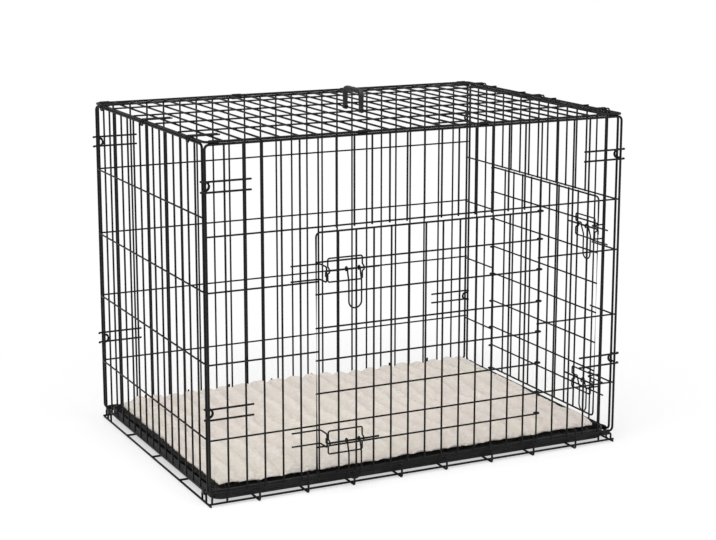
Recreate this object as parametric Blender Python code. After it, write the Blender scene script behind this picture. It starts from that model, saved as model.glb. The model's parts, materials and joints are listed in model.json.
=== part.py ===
"""Folding wire dog crate with two doors, a lift-out tray and a fleece pad.

Metres, +Z up. X runs along the long front, Y runs from the front to the back. Every panel is laid out in
its own coordinates: along its bottom, out of the crate, and up. The model then stands with the middle of
its bounding box on the Z axis and its lowest wires on Z = 0.
"""

import math

import bmesh
import bpy
import numpy as np
from mathutils import Vector

# Mesh layout
PITCH = 0.04354
LONG_BAYS = 24
END_BAYS = 16
END_INSET = 0.0146
PANEL_BOTTOM = 0.028
PANEL_TOP = 0.7955
CORNER_RADIUS = 0.010
PLAIN_ROWS = (0.153, 0.321, 0.479, 0.640)
JAMB_ROWS = (0.149, 0.318, 0.4765)
HEAD_ROW_RISE = 0.010
FRONT_DOOR_BAYS = (6, 19)
END_DOOR_BAYS = (2, 13)
LID_ROWS = 4
CARRIER_EVERY = 6

# Wires, measured across their flats
FRAME_WIRE = 0.0048
UPRIGHT_WIRE = 0.0036
ROW_WIRE = 0.0032
DOOR_WIRE = 0.0042
FLOOR_WIRE = 0.0044
BENT_WIRE = 0.0032
BOLT_WIRE = 0.0040
GAP = 0.0003
WELD = 0.0003
FLUSH = 0.0001

# Doors
DOOR_SILL = 0.038
DOOR_HEAD = 0.588
DOOR_ROWS = (0.0635, 0.115, 0.187, 0.2625, 0.336, 0.412, 0.484)
DOOR_OVERLAP = 0.0074
DOOR_STAND_OFF = 0.0056
EYE_WRAP = 180.0
EYE_STEP = 45.0

# Latches, two on each door, and their staples' legs above and below the bolt
UPPER_BOLT_DROP = 0.0845
UPPER_STAPLE = (-0.022, 0.0125)
LOWER_BOLT_RISE = 0.0733
LOWER_STAPLE = (-0.0043, 0.0267)
PLATE_START = 0.016
PLATE_LENGTH = 0.084
PLATE_HEIGHT = 0.053
PLATE_RADIUS = 0.006
BOLT_LENGTH = 0.131
BOLT_REACH = 0.011
BOLT_TRAVEL = 0.020
BOLT_TIP = 0.013
PULL_START = 0.050
PULL_WIDTH = 0.031
PULL_LENGTH = 0.086
PULL_LEAN = 0.007
STAPLE_LEG = 0.065
STAPLE_NOSE = 0.031

# Corner bars and hooks, in pairs above the panel's bottom and below its top
LOWER_BARS = (0.170, 0.194)
UPPER_BARS = (0.1005, 0.0775)
BAR_LENGTH = 0.104
BAR_OVERHANG = 0.009
BAR_TIP = 0.004
HOOK_HALF_HEIGHT = 0.0095
HOOK_REACH = 0.012
HOOK_RADIUS = 0.007
HOOK_SET_IN = 0.008

# Lid hardware
LID_OVERHANG = 0.004
END_HOOK_OFFSETS = (-0.290, 0.0, 0.290)
END_HOOK_WIDTH = 0.014
END_HOOK_LENGTH = 0.062
END_HOOK_DROP = 0.013
HANDLE_SPAN = 0.086
HANDLE_HEIGHT = 0.052
HANDLE_GRIP = 0.013
HANDLE_RADIUS = 0.011
HANDLE_FOOT = 0.0135

# Hinge sleeves
SLEEVE_LENGTH = 0.024
SLEEVE_WALL = 0.0010
SLEEVE_BAYS = (0, 8, 15, 23)
CORNER_SLEEVE_BAYS = (0, 23)
END_SLEEVE_LENGTH = 0.012
END_SLEEVE_BAYS = (0, 15)
ARCH_MARGIN = 0.0035
CLIP_DROP = 0.0075
ROUND_STEPS = 4

# Floor grid
FLOOR_CROSS = 8
FLOOR_PITCH = 0.1172
FLOOR_LONG = 5
STUB_FORWARD = 0.013
STUB_HEIGHT = 0.0445
STUB_ROOM = 0.0085
STUB_CURL = 0.002

# Tray and pad
TRAY_GAP = 0.0095
TRAY_HEIGHT = 0.0245
TRAY_WALL = 0.0022
TRAY_FLOOR = 0.0025
TRAY_LIP = 0.002
TRAY_LIP_HEIGHT = 0.005
TRAY_DRAFT = 0.0015
TRAY_RADIUS = 0.030
PAD_GAP = 0.006
PAD_HEIGHT = 0.052
PAD_RADIUS = 0.060
PAD_SIDE = 0.016
PAD_CROWN = 0.048
PAD_SCALLOP = 0.0035
PAD_SCALLOP_LENGTH = 0.105
PAD_SIDE_STEPS = 6
PAD_CROWN_STEPS = 5

# Finishes: colour, roughness, metallic
BLACK_WIRE = ((0.018, 0.018, 0.020, 1.0), 0.42, 0.15)
BLACK_PLASTIC = ((0.014, 0.014, 0.015, 1.0), 0.55, 0.0)
CREAM_FLEECE = ((0.83, 0.79, 0.72, 1.0), 0.95, 0.0)

# Places that follow from the sizes above
LENGTH = LONG_BAYS * PITCH
END_WIDTH = END_BAYS * PITCH
WIDTH = END_WIDTH + 2 * END_INSET
FRAME_ROUND = FRAME_WIRE / 2 / math.cos(math.pi / 6)
LID_HEIGHT = PANEL_TOP + 2 * FRAME_ROUND + GAP
DOOR_HEAD_ROW = DOOR_HEAD + HEAD_ROW_RISE
LOWER_BAR_HEIGHTS = tuple(PANEL_BOTTOM + rise for rise in LOWER_BARS)
UPPER_BAR_HEIGHTS = tuple(PANEL_TOP - drop for drop in UPPER_BARS)
LATCHES = {"upper": (DOOR_HEAD - UPPER_BOLT_DROP, UPPER_STAPLE),
           "lower": (DOOR_SILL + LOWER_BOLT_RISE, LOWER_STAPLE)}
ROW_OFFSET = (UPRIGHT_WIRE + ROW_WIRE) / 2 + GAP
BACK_LEG_OFFSET = (FRAME_WIRE + BENT_WIRE) / 2 + GAP
DOOR_OUTER = DOOR_STAND_OFF + ROW_WIRE / 2 + GAP + UPRIGHT_WIRE
PLATE_OFFSET = DOOR_OUTER + GAP + BENT_WIRE / 2
BOLT_ROUND = BOLT_WIRE / 2 / math.cos(math.pi / 6)
BOLT_EYE = (BOLT_ROUND + GAP + BENT_WIRE / 2) / math.cos(math.pi / 6)
BOLT_OFFSET = DOOR_OUTER + GAP + BENT_WIRE / 2 + BOLT_EYE
STAPLE_SIDE = FRAME_ROUND + GAP + BENT_WIRE / 2
CROSS_HEIGHT = FLOOR_WIRE / 2
LONG_HEIGHT = CROSS_HEIGHT + FLOOR_WIRE - WELD
ARCH_HEIGHT = PANEL_BOTTOM - FRAME_ROUND - GAP - FLOOR_WIRE / 2
SLEEVE_BORE = FRAME_ROUND + GAP
TRAY_BOTTOM = LONG_HEIGHT + FLOOR_WIRE / 2 + GAP
STAPLE_OUTER = STAPLE_NOSE + BENT_WIRE / 2
STUB_OUTER = STUB_FORWARD + FLOOR_WIRE / 2
BAR_OUTER = BAR_OVERHANG + ROW_WIRE / 2
LID_HOOK_OUT = FRAME_WIRE / 2 + GAP + BENT_WIRE + LID_OVERHANG
LEFT_OUTER = max(BAR_OUTER, LID_HOOK_OUT + BENT_WIRE / 2)
CENTRE = Vector(((LENGTH + STAPLE_OUTER - LEFT_OUTER) / 2, (WIDTH + STUB_OUTER - STAPLE_OUTER) / 2, 0))


class Side:
    """A panel's own coordinates: along its bottom, out of the crate, and up from its first edge."""

    def __init__(self, origin, along, outward, up=(0, 0, 1)):
        self.origin = Vector(origin)
        self.along = Vector(along)
        self.outward = Vector(outward)
        self.up = Vector(up)

    def at(self, along, outward, up):
        return self.origin + self.along * along + self.outward * outward + self.up * up


FRONT = Side((0, 0, 0), (1, 0, 0), (0, -1, 0))
BACK = Side((0, WIDTH, 0), (1, 0, 0), (0, 1, 0))
LEFT = Side((0, END_INSET, 0), (0, 1, 0), (-1, 0, 0))
RIGHT = Side((LENGTH, END_INSET, 0), (0, 1, 0), (1, 0, 0))
LID = Side((0, 0, LID_HEIGHT), (1, 0, 0), (0, 0, 1), (0, 1, 0))


def clear_scene():
    for item in list(bpy.data.objects):
        bpy.data.objects.remove(item, do_unlink=True)


def finish(name, values):
    colour, roughness, metallic = values
    made = bpy.data.materials.new(name)
    made.use_nodes = True
    shader = made.node_tree.nodes["Principled BSDF"]
    shader.inputs["Base Color"].default_value = colour
    shader.inputs["Roughness"].default_value = roughness
    shader.inputs["Metallic"].default_value = metallic
    return made


def rounded(points, radius, steps=3, closed=False):
    """The path with each corner replaced by an arc of the radius, in the given number of steps."""
    points = [Vector(p) for p in points]
    count = len(points)
    path = []
    for i, corner in enumerate(points):
        if not closed and i in (0, count - 1):
            path.append(corner)
            continue
        back = (points[i - 1] - corner).normalized()
        ahead = (points[(i + 1) % count] - corner).normalized()
        half = back.angle(ahead) / 2
        reach = radius / math.tan(half)
        middle = corner + (back + ahead).normalized() * radius / math.sin(half)
        start = corner + back * reach - middle
        sweep = math.pi - 2 * half
        for step in range(steps + 1):
            turn = sweep * step / steps
            path.append(middle + start * math.cos(turn) - back * radius * math.sin(turn))
    return path


def wire(points, size, facing, sides=4, closed=False):
    """A wire along the points: a polygon, its flats size apart and one of them facing, mitred at each bend.

    Each ring is the one before it, slid along the straight between them onto the next mitre plane.
    """
    points = [Vector(p) for p in points]
    count = len(points)
    runs = [(points[(i + 1) % count] - points[i]).normalized() for i in range(count if closed else count - 1)]
    facing = Vector(facing)
    first = runs[0]
    ahead = (facing - first * facing.dot(first)).normalized()
    beside = first.cross(ahead)
    reach = size / 2 / math.cos(math.pi / sides)
    middle = (points[0] + points[1]) / 2
    angles = [(2 * k + 1) * math.pi / sides for k in range(sides)]
    ring = [middle + (ahead * math.cos(a) + beside * math.sin(a)) * reach for a in angles]
    rings = []
    for i, point in enumerate(points):
        if closed:
            before, after = runs[i - 1], runs[i]
        else:
            before, after = runs[max(i - 1, 0)], runs[min(i, count - 2)]
        plane = (before + after).normalized()
        travel = after if i == 0 else before
        ring = [v + travel * ((point - v).dot(plane) / travel.dot(plane)) for v in ring]
        rings.append(ring)
    verts = [v for each in rings for v in each]
    faces = []
    for i in range(count if closed else count - 1):
        low = i * sides
        high = (i + 1) % count * sides
        for k in range(sides):
            turn = (k + 1) % sides
            faces.append((low + k, low + turn, high + turn, high + k))
    if not closed:
        faces.append(tuple(reversed(range(sides))))
        faces.append(tuple(range((count - 1) * sides, count * sides)))
    return verts, faces


def mesh_of(name, shapes, origin):
    """One mesh holding the shapes, measured from the origin, with every face turned outward."""
    built = bmesh.new()
    for verts, faces in shapes:
        made = [built.verts.new(Vector(v) - origin) for v in verts]
        for face in faces:
            built.faces.new([made[i] for i in face])
    bmesh.ops.recalc_face_normals(built, faces=built.faces)
    mesh = bpy.data.meshes.new(name)
    built.to_mesh(mesh)
    built.free()
    mesh.shade_smooth()
    mesh.set_sharp_from_angle(angle=math.radians(50))
    return mesh


def add_object(name, shapes, origin):
    made = bpy.data.objects.new(name, mesh_of(name, shapes, origin))
    made.location = origin - CENTRE
    bpy.context.scene.collection.objects.link(made)
    return made


def combine(target, name, shapes, origin, operation):
    """Joins the shapes to the target, or cuts them from it, by a Boolean that stays on it."""
    helper = add_object(name, shapes, origin)
    helper.hide_render = True
    helper.display_type = "WIRE"
    step = target.modifiers.new(operation.title(), "BOOLEAN")
    step.operation = operation
    step.solver = "EXACT"
    step.use_self = operation == "UNION"
    step.object = helper


def piece(name, shapes, values, origin=(0, 0, 0), cuts=()):
    """One node: the first shape, with the others welded to it and the cuts taken out of it."""
    origin = Vector(origin)
    node = add_object(name, shapes[:1], origin)
    node.data.materials.append(finish(name + "_finish", values))
    if shapes[1:]:
        combine(node, name + "_welded", shapes[1:], origin, "UNION")
    if cuts:
        combine(node, name + "_cut", cuts, origin, "DIFFERENCE")
    if shapes[1:] or cuts:
        node.modifiers.new("Triangulate", "TRIANGULATE").ngon_method = "BEAUTY"
    return node


def loop(side, left, right, low, high, offset=0.0):
    return [side.at(left, offset, low), side.at(right, offset, low),
            side.at(right, offset, high), side.at(left, offset, high)]


def frame_wire(side, width, low, high):
    path = rounded(loop(side, 0, width, low, high), CORNER_RADIUS, closed=True)
    return wire(path, FRAME_WIRE, side.outward, sides=6, closed=True)


def row_wire(side, start, end, height, offset):
    return wire([side.at(start, offset, height), side.at(end, offset, height)], ROW_WIRE, side.outward)


def strip(section, start, along, length, across, up):
    """A closed section, in the across and up directions, carried straight along."""
    start, along, across, up = (Vector(v) for v in (start, along, across, up))
    count = len(section)
    verts = [start + along * end + across * x + up * y for end in (0, length) for x, y in section]
    faces = [(k, (k + 1) % count, (k + 1) % count + count, k + count) for k in range(count)]
    faces.append(tuple(reversed(range(count))))
    faces.append(tuple(range(count, 2 * count)))
    return verts, faces


def bar(side, place, near, far, low, high):
    """An upright bar of a mesh, from one depth to another and from one height to another."""
    half = UPRIGHT_WIRE / 2
    section = [(-half, near), (half, near), (half, far), (-half, far)]
    return strip(section, side.at(place, 0, low), side.up, high - low, side.along, side.outward)


def upright(side, place, low, high, carrier, row_side):
    """A mesh upright. A carrier is deeper on the rows' side and reaches into them."""
    reach = FRAME_WIRE / 2 - FLUSH if carrier else UPRIGHT_WIRE / 2
    return bar(side, place, -UPRIGHT_WIRE / 2 * row_side, reach * row_side, low, high)


def panel(side, bays, low, high, rows, row_side, door=None, overhang=None):
    """The wires of one panel. Its rows lie outside where row_side is 1, and inside where it is -1."""
    width = bays * PITCH
    past = UPRIGHT_WIRE / 2 if overhang is None else overhang
    offset = ROW_OFFSET * row_side
    wires = [frame_wire(side, width, low, high)]
    for bay in range(1, bays):
        place = bay * PITCH
        if door and bay in door:
            wires.append(wire([side.at(place, 0, low), side.at(place, 0, high)], FRAME_WIRE, side.outward, 6))
            continue
        inside = door and door[0] < bay < door[1]
        foot = DOOR_HEAD_ROW - ROW_WIRE if inside else low
        carrier = bay % CARRIER_EVERY == 0 or bay == bays - 1
        wires.append(upright(side, place, foot, high, carrier, row_side))
    for height in rows:
        if door:
            wires.append(row_wire(side, -past, door[0] * PITCH + past, height, offset))
            wires.append(row_wire(side, door[1] * PITCH - past, width + past, height, offset))
        else:
            wires.append(row_wire(side, -past, width + past, height, offset))
    if door:
        wires.append(row_wire(side, -past, width + past, DOOR_HEAD_ROW, offset))
    return wires


def corner_bars(side):
    """Short doubled bars on the outside of a long panel, whose tips turn back round the corner."""
    wires = []
    for height in LOWER_BAR_HEIGHTS + UPPER_BAR_HEIGHTS:
        for start, end in ((BAR_LENGTH, -BAR_OVERHANG), (LENGTH - BAR_LENGTH, LENGTH + BAR_OVERHANG)):
            path = [side.at(start, ROW_OFFSET, height), side.at(end, ROW_OFFSET, height),
                    side.at(end, -BAR_TIP, height)]
            wires.append(wire(path, ROW_WIRE, side.up))
    return wires


def corner_hook(name, side, edge, turn, height):
    """A C hook at an end panel's edge, just behind the long panel's corner and rounded towards the inside."""
    start = edge + turn * (FRAME_ROUND + GAP)
    near = edge + turn * (END_INSET - HOOK_SET_IN)
    low, high = height - HOOK_HALF_HEIGHT, height + HOOK_HALF_HEIGHT
    bulge = [side.at(near, 0, low), side.at(near, -HOOK_REACH, low),
             side.at(near, -HOOK_REACH, high), side.at(near, 0, high)]
    path = [side.at(start, 0, low)] + rounded(bulge, HOOK_RADIUS) + [side.at(start, 0, high)]
    piece(name, [wire(path, BENT_WIRE, side.up)], BLACK_WIRE, side.at(edge, 0, height))


def corner_hooks(end, side):
    """The four C hooks of an end panel, each in the middle of a pair of corner bars."""
    for corner, edge, turn in (("front", 0.0, -1), ("back", END_WIDTH, 1)):
        for level, heights in (("lower", LOWER_BAR_HEIGHTS), ("upper", UPPER_BAR_HEIGHTS)):
            corner_hook(f"{end}_{corner}_{level}_hook", side, edge, turn, sum(heights) / 2)


def eye(side, jamb, height, start):
    """Points round a jamb, in its cross-section, from the door's plane to the back of the jamb."""
    points = [side.at(start, DOOR_STAND_OFF, height)]
    for step in range(round(EYE_WRAP / EYE_STEP) + 1):
        turn = math.radians(90 - step * EYE_STEP)
        place = jamb + DOOR_STAND_OFF * math.cos(turn)
        points.append(side.at(place, DOOR_STAND_OFF * math.sin(turn), height))
    return points


def door(name, side, bays):
    """A wire door whose rows curl round the hinge jamb, and whose bars lie on the rows' outer side."""
    free, jamb = bays[0] * PITCH - DOOR_OVERLAP, bays[1] * PITCH
    head = eye(side, jamb, DOOR_HEAD, free + CORNER_RADIUS)
    sill = eye(side, jamb, DOOR_SILL, free + CORNER_RADIUS)
    corners = [head[1], side.at(free, DOOR_STAND_OFF, DOOR_HEAD),
               side.at(free, DOOR_STAND_OFF, DOOR_SILL), sill[1]]
    path = head[:1:-1] + rounded(corners, CORNER_RADIUS) + sill[2:]
    wires = [wire(path, DOOR_WIRE, side.up, sides=4)]
    for rise in DOOR_ROWS:
        wires.append(wire(eye(side, jamb, DOOR_SILL + rise, free), ROW_WIRE, side.up))
    inner = DOOR_STAND_OFF + ROW_WIRE / 2 + GAP
    for bay in range(bays[0] + 1, bays[1]):
        near = inner - GAP - WELD if (bay - bays[0]) % CARRIER_EVERY == 1 else inner
        past = UPRIGHT_WIRE / 2
        wires.append(bar(side, bay * PITCH, near, DOOR_OUTER, DOOR_SILL - past, DOOR_HEAD + past))
    piece(name, wires, BLACK_WIRE, side.at(jamb, 0, 0))


def plate(name, side, jamb, bolt):
    """The latch's wire rectangle on the door. The middle of each short side stands out round the bolt."""
    near, far = jamb + PLATE_START, jamb + PLATE_START + PLATE_LENGTH
    low, high = bolt - PLATE_HEIGHT / 2, bolt + PLATE_HEIGHT / 2
    half = BOLT_ROUND + GAP + BENT_WIRE / 2
    proud = BOLT_OFFSET + BOLT_ROUND + GAP + BENT_WIRE / 2
    shoulders = [side.at(near, PLATE_OFFSET, low), side.at(far, PLATE_OFFSET, low),
                 side.at(far, PLATE_OFFSET, high), side.at(near, PLATE_OFFSET, high)]
    bent = rounded(shoulders, PLATE_RADIUS, steps=2, closed=True)
    turns = len(bent) // 4

    def bump(place, order):
        spots = [(-half, PLATE_OFFSET), (-half, proud), (half, proud), (half, PLATE_OFFSET)]
        return [side.at(place, out, bolt + order * up) for up, out in spots]

    path = bent[:2 * turns] + bump(far, 1) + bent[2 * turns:] + bump(near, -1)
    piece(name, [wire(path, BENT_WIRE, side.outward, closed=True)], BLACK_WIRE, side.at(jamb, 0, 0))


def bolt_rod(name, side, jamb, height, tip):
    start = jamb - BOLT_REACH + BOLT_TRAVEL
    path = [side.at(start, BOLT_OFFSET, height + tip), side.at(start, BOLT_OFFSET, height),
            side.at(start + BOLT_LENGTH, BOLT_OFFSET, height)]
    rod = wire(path, BOLT_WIRE, side.outward, sides=6)
    piece(name, [rod], BLACK_WIRE, side.at(start, BOLT_OFFSET, height))


def pull(name, side, jamb, height):
    """The bent pull that hangs on the bolt: an eye round the bolt at the top of each leg."""
    wires = []
    near = jamb + PULL_START - BOLT_REACH + BOLT_TRAVEL
    legs = []
    for place in (near, near + PULL_WIDTH):
        round_bolt = []
        for turn in range(-30, 181, 60):
            angle = math.radians(turn)
            out = BOLT_OFFSET + BOLT_EYE * -math.cos(angle)
            round_bolt.append(side.at(place, out, height + BOLT_EYE * math.sin(angle)))
        front = BOLT_OFFSET + BOLT_EYE
        legs.append(round_bolt + [side.at(place, front, height - BOLT_EYE),
                                  side.at(place, front + PULL_LEAN, height - PLATE_HEIGHT / 2)])
    bottom = [side.at(place, BOLT_OFFSET + BOLT_EYE + PULL_LEAN, height - PULL_LENGTH)
              for place in (near, near + PULL_WIDTH)]
    path = legs[0] + bottom + legs[1][::-1]
    wires.append(wire(path, BENT_WIRE, side.along))
    piece(name, wires, BLACK_WIRE, side.at(near, BOLT_OFFSET, height))


def staple(name, side, jamb, bolt, legs):
    """The catch on the panel: two legs along it and a nose that stands out through the door's mesh."""
    near, far = jamb - STAPLE_LEG, jamb + STAPLE_SIDE
    low, high = (bolt + leg for leg in legs)
    spots = [(near, -BACK_LEG_OFFSET, low), (far, -BACK_LEG_OFFSET, low), (far, STAPLE_NOSE, low),
             (far, STAPLE_NOSE, high), (far, -BACK_LEG_OFFSET, high), (near, -BACK_LEG_OFFSET, high)]
    piece(name, [wire([side.at(*spot) for spot in spots], BENT_WIRE, side.up)], BLACK_WIRE,
          side.at(jamb, 0, 0))


def latches(place, side, bays):
    jamb = bays[0] * PITCH
    for level, (bolt, legs) in LATCHES.items():
        title = f"{place}_{level}"
        tip = -BOLT_TIP if level == "upper" else BOLT_TIP
        plate(title + "_latch_plate", side, jamb, bolt)
        bolt_rod(title + "_latch_bolt", side, jamb, bolt, tip)
        pull(title + "_latch_pull", side, jamb, bolt)
        staple(title + "_latch_staple", side, jamb, bolt, legs)


def stadium(radius, gap):
    """An outline round two points one above the other, gap apart, at the radius."""
    points = []
    for base, centre in ((0.0, gap), (math.pi, 0.0)):
        for step in range(ROUND_STEPS + 1):
            turn = base + math.pi * step / ROUND_STEPS
            points.append((radius * math.cos(turn), centre + radius * math.sin(turn)))
    return points


def sleeve(name, lower, along, across, spacing, length=SLEEVE_LENGTH):
    """A sleeve crimped round two parallel wires, spacing apart, from the middle of the lower one."""
    along = Vector(along)
    start = Vector(lower) - along * length / 2
    outer = stadium(SLEEVE_BORE + SLEEVE_WALL, spacing)
    inner = stadium(SLEEVE_BORE, spacing)
    body = strip(outer, start, along, length, across, (0, 0, 1))
    bore = strip(inner, start - along * SLEEVE_WALL, along, length + 2 * SLEEVE_WALL, across, (0, 0, 1))
    piece(name, [body], BLACK_WIRE, lower, cuts=[bore])


def clip(name, place):
    """A clip on the lid's front wire. Its back wall hangs behind the front panel's top wire."""
    bore, wall = SLEEVE_BORE, SLEEVE_WALL
    drop = -FRAME_WIRE - CLIP_DROP / 2
    turns = [math.pi * k / ROUND_STEPS for k in range(ROUND_STEPS + 1)]
    outer = [((bore + wall) * math.cos(turn), (bore + wall) * math.sin(turn)) for turn in turns]
    inner = [(bore * math.cos(turn), bore * math.sin(turn)) for turn in turns]
    section = [(bore + wall, drop)] + outer + inner[::-1] + [(bore, drop)]
    start = FRONT.at(place - SLEEVE_LENGTH / 2, 0, LID_HEIGHT)
    piece(name, [strip(section, start, (1, 0, 0), SLEEVE_LENGTH, (0, 1, 0), (0, 0, 1))], BLACK_WIRE, start)


def end_hook(name, place, end, outward):
    """A doubled wire on the lid, bent down outside the end panel's top wire."""
    half = END_HOOK_WIDTH / 2
    height = LID_HEIGHT + FRAME_WIRE / 2 + GAP + BENT_WIRE / 2
    outer = end + outward * LID_HOOK_OUT
    inner = end - outward * END_HOOK_LENGTH
    spots = [(inner, place - half, height), (outer, place - half, height),
             (outer, place - half, height - END_HOOK_DROP), (outer, place + half, height - END_HOOK_DROP),
             (outer, place + half, height), (inner, place + half, height)]
    path = [Vector(spot) for spot in spots]
    piece(name, [wire(path, BENT_WIRE, (0, 0, 1))], BLACK_WIRE, path[0])


def handle():
    """The carrying handle, moulded round the lid's middle wire by a split foot at each end."""
    middle = LENGTH / 2
    low, high = WIDTH / 2 - HANDLE_SPAN / 2, WIDTH / 2 + HANDLE_SPAN / 2
    top = LID_HEIGHT + HANDLE_HEIGHT - HANDLE_GRIP / 2
    corners = [(middle, low, LID_HEIGHT), (middle, low, top), (middle, high, top), (middle, high, LID_HEIGHT)]
    grip = wire(rounded(corners, HANDLE_RADIUS, steps=4), HANDLE_GRIP, (1, 0, 0), sides=8)
    half = Vector((0, HANDLE_GRIP / 2, 0))
    ends = [Vector((middle, place, LID_HEIGHT)) for place in (low, high)]
    feet = [wire([end - half, end + half], HANDLE_FOOT, (0, 0, 1), sides=8) for end in ends]
    bore = wire([(middle, low - HANDLE_GRIP, LID_HEIGHT), (middle, high + HANDLE_GRIP, LID_HEIGHT)],
                2 * SLEEVE_BORE, (0, 0, 1), sides=8)
    piece("carry_handle", [grip] + feet, BLACK_PLASTIC, (middle, WIDTH / 2, LID_HEIGHT), cuts=[bore])


def beside_uprights(place):
    """A floor wire's place, moved out from the middle just far enough to clear the nearest upright."""
    nearest = round(place / PITCH) * PITCH
    room = (FLOOR_WIRE + FRAME_WIRE) / 2 + GAP
    if abs(place - nearest) >= room:
        return place
    return nearest + math.copysign(room, place - LENGTH / 2)


def stub(place, edge, outward):
    """Points up a cross wire's end, from its curled tip, which stays below a door, down to the floor."""
    doorway = (FRONT_DOOR_BAYS[0] * PITCH - DOOR_OVERLAP, FRONT_DOOR_BAYS[1] * PITCH)
    under_door = outward < 0 and doorway[0] - FLOOR_WIRE < place < doorway[1] + FLOOR_WIRE
    top = DOOR_SILL - STUB_ROOM if under_door else STUB_HEIGHT
    face = edge + outward * STUB_FORWARD
    return [(place, face - outward * STUB_CURL, top + 2 * STUB_CURL), (place, face, top),
            (place, face, CROSS_HEIGHT)]


def arch(start, along, rise, length):
    """A low arch of floor wire: one leg, the hinge rail inside a sleeve of the length, and the other leg."""
    start, along = Vector(start), Vector(along)
    half = length / 2 + ARCH_MARGIN + FLOOR_WIRE / 2
    lift = Vector((0, 0, rise))
    near, far = start - along * half, start + along * half
    return wire([near, near + lift, far + lift, far], FLOOR_WIRE, along, sides=6)


def floor_grid():
    """Welded floor: cross wires on the ground, long wires over them, stubs and hinge arches at the edges."""
    wires = []
    for index in range(FLOOR_LONG):
        place = WIDTH * index / (FLOOR_LONG - 1)
        past = FLOOR_WIRE
        path = [(-past, place, LONG_HEIGHT), (LENGTH + past, place, LONG_HEIGHT)]
        wires.append(wire(path, FLOOR_WIRE, (0, 0, 1)))
    for index in range(FLOOR_CROSS):
        place = beside_uprights(LENGTH / 2 + (index - (FLOOR_CROSS - 1) / 2) * FLOOR_PITCH)
        path = stub(place, 0, -1) + stub(place, WIDTH, 1)[::-1]
        wires.append(wire(path, FLOOR_WIRE, (1, 0, 0)))
    for place in (0, LENGTH):
        past = FLOOR_WIRE
        wires.append(wire([(place, -past, CROSS_HEIGHT), (place, WIDTH + past, CROSS_HEIGHT)],
                          FLOOR_WIRE, (0, 0, 1)))
        for bay in END_SLEEVE_BAYS:
            spot = (place, END_INSET + (bay + 0.5) * PITCH, CROSS_HEIGHT)
            wires.append(arch(spot, (0, 1, 0), ARCH_HEIGHT - CROSS_HEIGHT, END_SLEEVE_LENGTH))
    for place in (0, WIDTH):
        for bay in CORNER_SLEEVE_BAYS:
            spot = ((bay + 0.5) * PITCH, place, LONG_HEIGHT)
            wires.append(arch(spot, (1, 0, 0), ARCH_HEIGHT - LONG_HEIGHT, SLEEVE_LENGTH))
    piece("floor_grid", wires, BLACK_WIRE)


def outline(inset, radius, steps=5):
    """A rounded rectangle inside the crate's plan, as (x, y) points."""
    left, right, front, back = inset, LENGTH - inset, inset, WIDTH - inset
    points = []
    corners = ((right - radius, back - radius, 0), (left + radius, back - radius, 90),
               (left + radius, front + radius, 180), (right - radius, front + radius, 270))
    for centre_x, centre_y, base in corners:
        for step in range(steps + 1):
            turn = math.radians(base + 90 * step / steps)
            points.append((centre_x + radius * math.cos(turn), centre_y + radius * math.sin(turn)))
    return points


def lofted(rings):
    """Closed rings one after another, with the first and the last filled."""
    count = len(rings[0])
    verts = [v for ring in rings for v in ring]
    faces = []
    for level in range(len(rings) - 1):
        for k in range(count):
            turn = (k + 1) % count
            low, high = level * count, (level + 1) * count
            faces.append((low + k, low + turn, high + turn, high + k))
    faces.append(tuple(reversed(range(count))))
    faces.append(tuple(range((len(rings) - 1) * count, len(rings) * count)))
    return verts, faces


def tray():
    """A shallow moulded tray with drafted walls and a lip, resting on the floor's long wires."""
    top = TRAY_BOTTOM + TRAY_HEIGHT
    lip = TRAY_GAP
    wall = TRAY_GAP + TRAY_LIP
    foot = wall + TRAY_DRAFT
    levels = [(foot, TRAY_BOTTOM), (wall, top - TRAY_LIP_HEIGHT), (lip, top - TRAY_LIP_HEIGHT), (lip, top),
              (wall + TRAY_WALL, top), (foot + TRAY_WALL, TRAY_BOTTOM + TRAY_FLOOR)]
    rings = []
    for inset, height in levels:
        rings.append([(x, y, height) for x, y in outline(inset, TRAY_RADIUS - (inset - lip))])
    piece("tray", [lofted(rings)], BLACK_PLASTIC, (LENGTH / 2, WIDTH / 2, TRAY_BOTTOM))


def pad():
    """A stuffed pad: flat below, crowned above, with rounded sides drawn in between scalloped swells."""
    edge = TRAY_GAP + TRAY_LIP + TRAY_DRAFT + TRAY_WALL + PAD_GAP
    base = TRAY_BOTTOM + TRAY_FLOOR + GAP
    shape = outline(edge, PAD_RADIUS, steps=3)
    ring = []
    for (x, y), (next_x, next_y) in zip(shape, shape[1:] + shape[:1]):
        length = math.hypot(next_x - x, next_y - y)
        parts = max(1, round(length / (PAD_SCALLOP_LENGTH / 2)))
        ring += [(x + (next_x - x) * k / parts, y + (next_y - y) * k / parts) for k in range(parts)]
    points = np.array(ring)
    middle = np.array([LENGTH / 2, WIDTH / 2])
    away = points - middle
    half = np.abs(away).max(axis=0)
    swell = np.where(np.arange(len(points)) % 2 == 0, 0.0, PAD_SCALLOP)
    levels = []
    for turn in np.linspace(0, math.pi / 2, PAD_SIDE_STEPS):
        inset = PAD_SIDE * (1 - math.sin(turn)) + swell * math.sin(turn)
        levels.append((inset, PAD_HEIGHT / 2 * (1 - math.cos(turn))))
    for turn in np.linspace(0, math.pi / 2, PAD_CROWN_STEPS + 1)[1:]:
        inset = PAD_CROWN * (1 - math.cos(turn)) + swell * math.cos(turn)
        levels.append((inset, PAD_HEIGHT / 2 * (1 + math.sin(turn))))
    rings = []
    for inset, height in levels:
        drawn_in = middle + away * (1 - np.reshape(inset, (-1, 1)) / half)
        rings.append([(x, y, base + height) for x, y in drawn_in])
    piece("fleece_pad", [lofted(rings)], CREAM_FLEECE, (LENGTH / 2, WIDTH / 2, base))


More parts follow.
